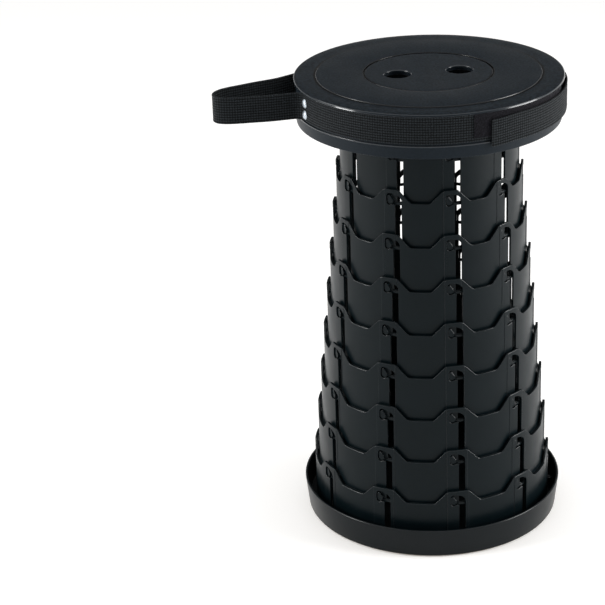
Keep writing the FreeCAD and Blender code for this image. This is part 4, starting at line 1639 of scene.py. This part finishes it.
    def make_rivets(self, shop: Workshop) -> None:
        """Builds the two domed rivets, each a profile turned about its own level axis.

        Args:
            shop: The workshop that fits them.
        """
        face = CHANNEL_RADIUS + 2 * self.clearance + STRAP_THICKNESS
        profile = rounded(self.rivet_profile, steps=4, closed=False)
        turn = np.arange(self.rivet_steps)[:, None] * 2 * math.pi / self.rivet_steps
        out = plan(1.0, self.rivet_azimuth, 0.0)
        across = np.array([-out[1], out[0], 0.0])
        up = np.array([0.0, 0.0, 1.0])
        spread = across * np.cos(turn) + up * np.sin(turn)
        shell = Shell()
        for depth in self.rivet_depths:
            centre = out * face + up * (SEAT_TOP - depth)
            points = centre + out * profile[None, :, 1:] + profile[None, :, :1] * spread[:, None]
            shell.grid(points, around=True)
        rivets = shell.build("rivets", sharp=45.0)
        shop.fit(rivets, Body.SEAT.value, Slot.RIVET, "strap_rivets")


@dataclass(frozen=True)
class SoftLamp:
    """One square soft lamp that faces the stool's middle; its sizes are in metres and watts."""

    name: str
    place: Triple
    side: float
    power: float
    aim: Triple = (0.0, 0.0, 0.25)

    def make(self) -> None:
        """Hangs the lamp."""
        lamp = bpy.data.lights.new(self.name, "AREA")
        lamp.shape = "SQUARE"
        lamp.size = self.side
        lamp.energy = self.power
        place = Vector(self.place)
        turn = (Vector(self.aim) - place).to_track_quat("-Z", "Y").to_matrix().to_4x4()
        hung = bpy.data.objects.new(self.name, lamp)
        hung.matrix_world = Matrix.Translation(place) @ turn
        bpy.context.scene.collection.objects.link(hung)


@dataclass
class Studio:
    """Pale floor, soft light and the camera."""

    camera_place: Triple = (0.0, -1.8304, 1.01679)
    focal_pixels: float = 2032.5
    image_pixels: float = 605.0
    sensor: float = 36.0
    pitch: float = -23.606
    pan: float = 3.925
    roll: float = -2.004
    wall_rise: Band = (0.07, 0.19)
    ceiling: float = 0.1
    front_wall: float = 0.12
    wall_turn: Band = (-0.6, 0.1)
    overhead: float = 0.8
    overhead_rise: Band = (0.6, 0.85)
    front_light: float = 0.45
    side_light: float = 0.78
    light_turn: Band = (-0.8, 0.2)
    light_colour: Triple = (0.95, 0.97, 1.0)
    floor_colours: tuple[Triple, Triple] = ((0.97, 0.97, 0.97), (0.9, 0.9, 0.9))
    floor_band: Band = (0.3, 0.7)
    floor_stain: float = 0.02
    floor_lift: Triple = (0.17, 0.15, 0.12)
    floor_rings: tuple[float, ...] = (0.0, 150.0, 500.0, 2000.0, 9000.0)
    floor_steps: int = 64
    lamps: tuple[SoftLamp, ...] = (
        SoftLamp("key_lamp", (-2.3, 0.1, 2.0), 1.6, 26.0),
        SoftLamp("fill_lamp", (2.2, 0.1, 1.7), 1.4, 16.0),
        SoftLamp("left_strip", (-1.45, -0.5, 0.6), 0.42, 10.5),
        SoftLamp("right_strip", (1.5, -0.25, 0.55), 0.75, 19.0),
    )

    def make_camera(self) -> None:
        """Places the camera by its pitch, then its pan about +Z, then its roll."""
        b, c, a = (math.radians(x) for x in (self.pitch, self.roll, self.pan))
        spin = np.array([[math.cos(a), -math.sin(a), 0], [math.sin(a), math.cos(a), 0], [0, 0, 1]])
        forward = spin @ np.array([0.0, math.cos(b), math.sin(b)])
        up = spin @ np.array([0.0, -math.sin(b), math.cos(b)])
        right = spin @ np.array([1.0, 0.0, 0.0])
        matrix = np.eye(4)
        matrix[:3, 0] = right * math.cos(c) + up * math.sin(c)
        matrix[:3, 1] = -right * math.sin(c) + up * math.cos(c)
        matrix[:3, 2] = -forward
        matrix[:3, 3] = self.camera_place
        lens = bpy.data.cameras.new("camera")
        lens.sensor_width = self.sensor
        lens.lens = self.focal_pixels / self.image_pixels * self.sensor
        camera = bpy.data.objects.new("camera", lens)
        camera.matrix_world = Matrix(matrix.tolist())
        bpy.context.scene.collection.objects.link(camera)
        bpy.context.scene.camera = camera

    def make_world(self) -> None:
        """Soft light all round, white where the object is seen past, and a wall for gloss.

        The wall is white at its foot, dim in front, and fades to its ceiling by the sine of its
        elevation, with a pale sheet overhead.
        """
        world = bpy.data.worlds.new("studio")
        bpy.context.scene.world = world
        world.use_nodes = True
        world.node_tree.nodes.clear()
        bench = NodeBench(world.node_tree)

        def sheet(colour: Triple, strength: Any) -> Socket:
            """A background of one colour and strength."""
            inputs = {"Color": solid(colour), "Strength": strength}
            return bench.add("ShaderNodeBackground", inputs).outputs[0]

        def either(share: Any, first: Socket, second: Socket) -> Socket:
            """Two backgrounds mixed."""
            return bench.add("ShaderNodeMixShader", {0: share, 1: first, 2: second}).outputs[0]

        ray = bench.add("ShaderNodeLightPath").outputs
        seen = bench.maths("MAXIMUM", ray["Is Camera Ray"], ray["Is Transmission Ray"])
        way = bench.add("ShaderNodeTexCoord").outputs["Generated"]
        rise, depth = bench.axis(way, "Z"), bench.axis(way, "Y")
        low = bench.ranged(depth, self.wall_turn, (self.front_wall, 1.0))
        wall = bench.ranged(rise, self.wall_rise, (low, self.ceiling))
        top = bench.ranged(rise, self.overhead_rise, (0.0, self.overhead))
        light = bench.ranged(depth, self.light_turn, (self.front_light, self.side_light))
        lit = either(
            ray["Is Glossy Ray"], sheet(self.light_colour, light),
            sheet(WHITE, bench.maths("ADD", wall, top)),
        )
        bench.add("ShaderNodeOutputWorld", {"Surface": either(seen, lit, sheet(WHITE, 1.0))})

    def make_floor(self) -> None:
        """Pale floor that fades to white, with the stool's shadow on it."""
        shell = Shell()
        rings = np.array([(radius, 0.0) for radius in self.floor_rings])
        shell.revolve(rings, closed=False, segments=self.floor_steps)
        floor = shell.build("floor")
        material, bench, shader = start_material("pale_floor")
        cloud = bench.noise(bench.place(), scale=6.0, detail=3.0)
        tone = bench.ranged(cloud, self.floor_band, (0.0, self.floor_stain))
        ray = bench.add("ShaderNodeLightPath").outputs
        seen = bench.maths("MAXIMUM", ray["Is Camera Ray"], ray["Is Transmission Ray"])
        bench.feed(shader, {
            "Base Color": bench.mixed(tone, *self.floor_colours),
            "Roughness": 0.9,
            "Specular IOR Level": 0.1,
            "Emission Color": solid(self.floor_lift),
            "Emission Strength": bench.maths("MAXIMUM", seen, ray["Is Glossy Ray"]),
        })
        floor.data.materials.append(material)

    def make(self) -> None:
        """Sets up the whole studio."""
        self.make_camera()
        self.make_world()
        for lamp in self.lamps:
            lamp.make()
        self.make_floor()
        bpy.context.scene.view_settings.view_transform = "Standard"


def main() -> None:
    """Builds every piece round the frame."""
    logging.basicConfig(level=logging.INFO, format="%(name)s: %(message)s")
    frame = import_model()
    shop = Workshop(frame)
    shop.mix_finishes()
    Studio().make()

    shop.fit(BaseTray().make(), Body.BASE.value, Slot.TRAY, "base_tray")
    shop.keep("foot_pads", Slot.RUBBER)
    shop.keep("base_screws", Slot.SCREW)
    for index in range(1, RING_COUNT + 1):
        body = Body.BASE.value if index == RING_COUNT else f"stage_{index}"
        shop.fit(TelescopeRing(index).make(), body, Slot.RING, f"ring_{index}")
    seat = Seat()
    shop.fit(seat.make_shell(), Body.SEAT.value, Slot.SEAT, "seat_shell")
    shop.fit(seat.make_lid(), Body.SEAT.value, Slot.SEAT, "centre_lid")
    shop.keep("seat_collar", Slot.RING)
    shop.keep("seat_screws", Slot.SCREW)
    shop.keep("rivet_washers", Slot.RIVET)
    strap = Strap()
    strap.make_bands(shop)
    strap.make_rivets(shop)


if __name__ == "__main__":
    main()
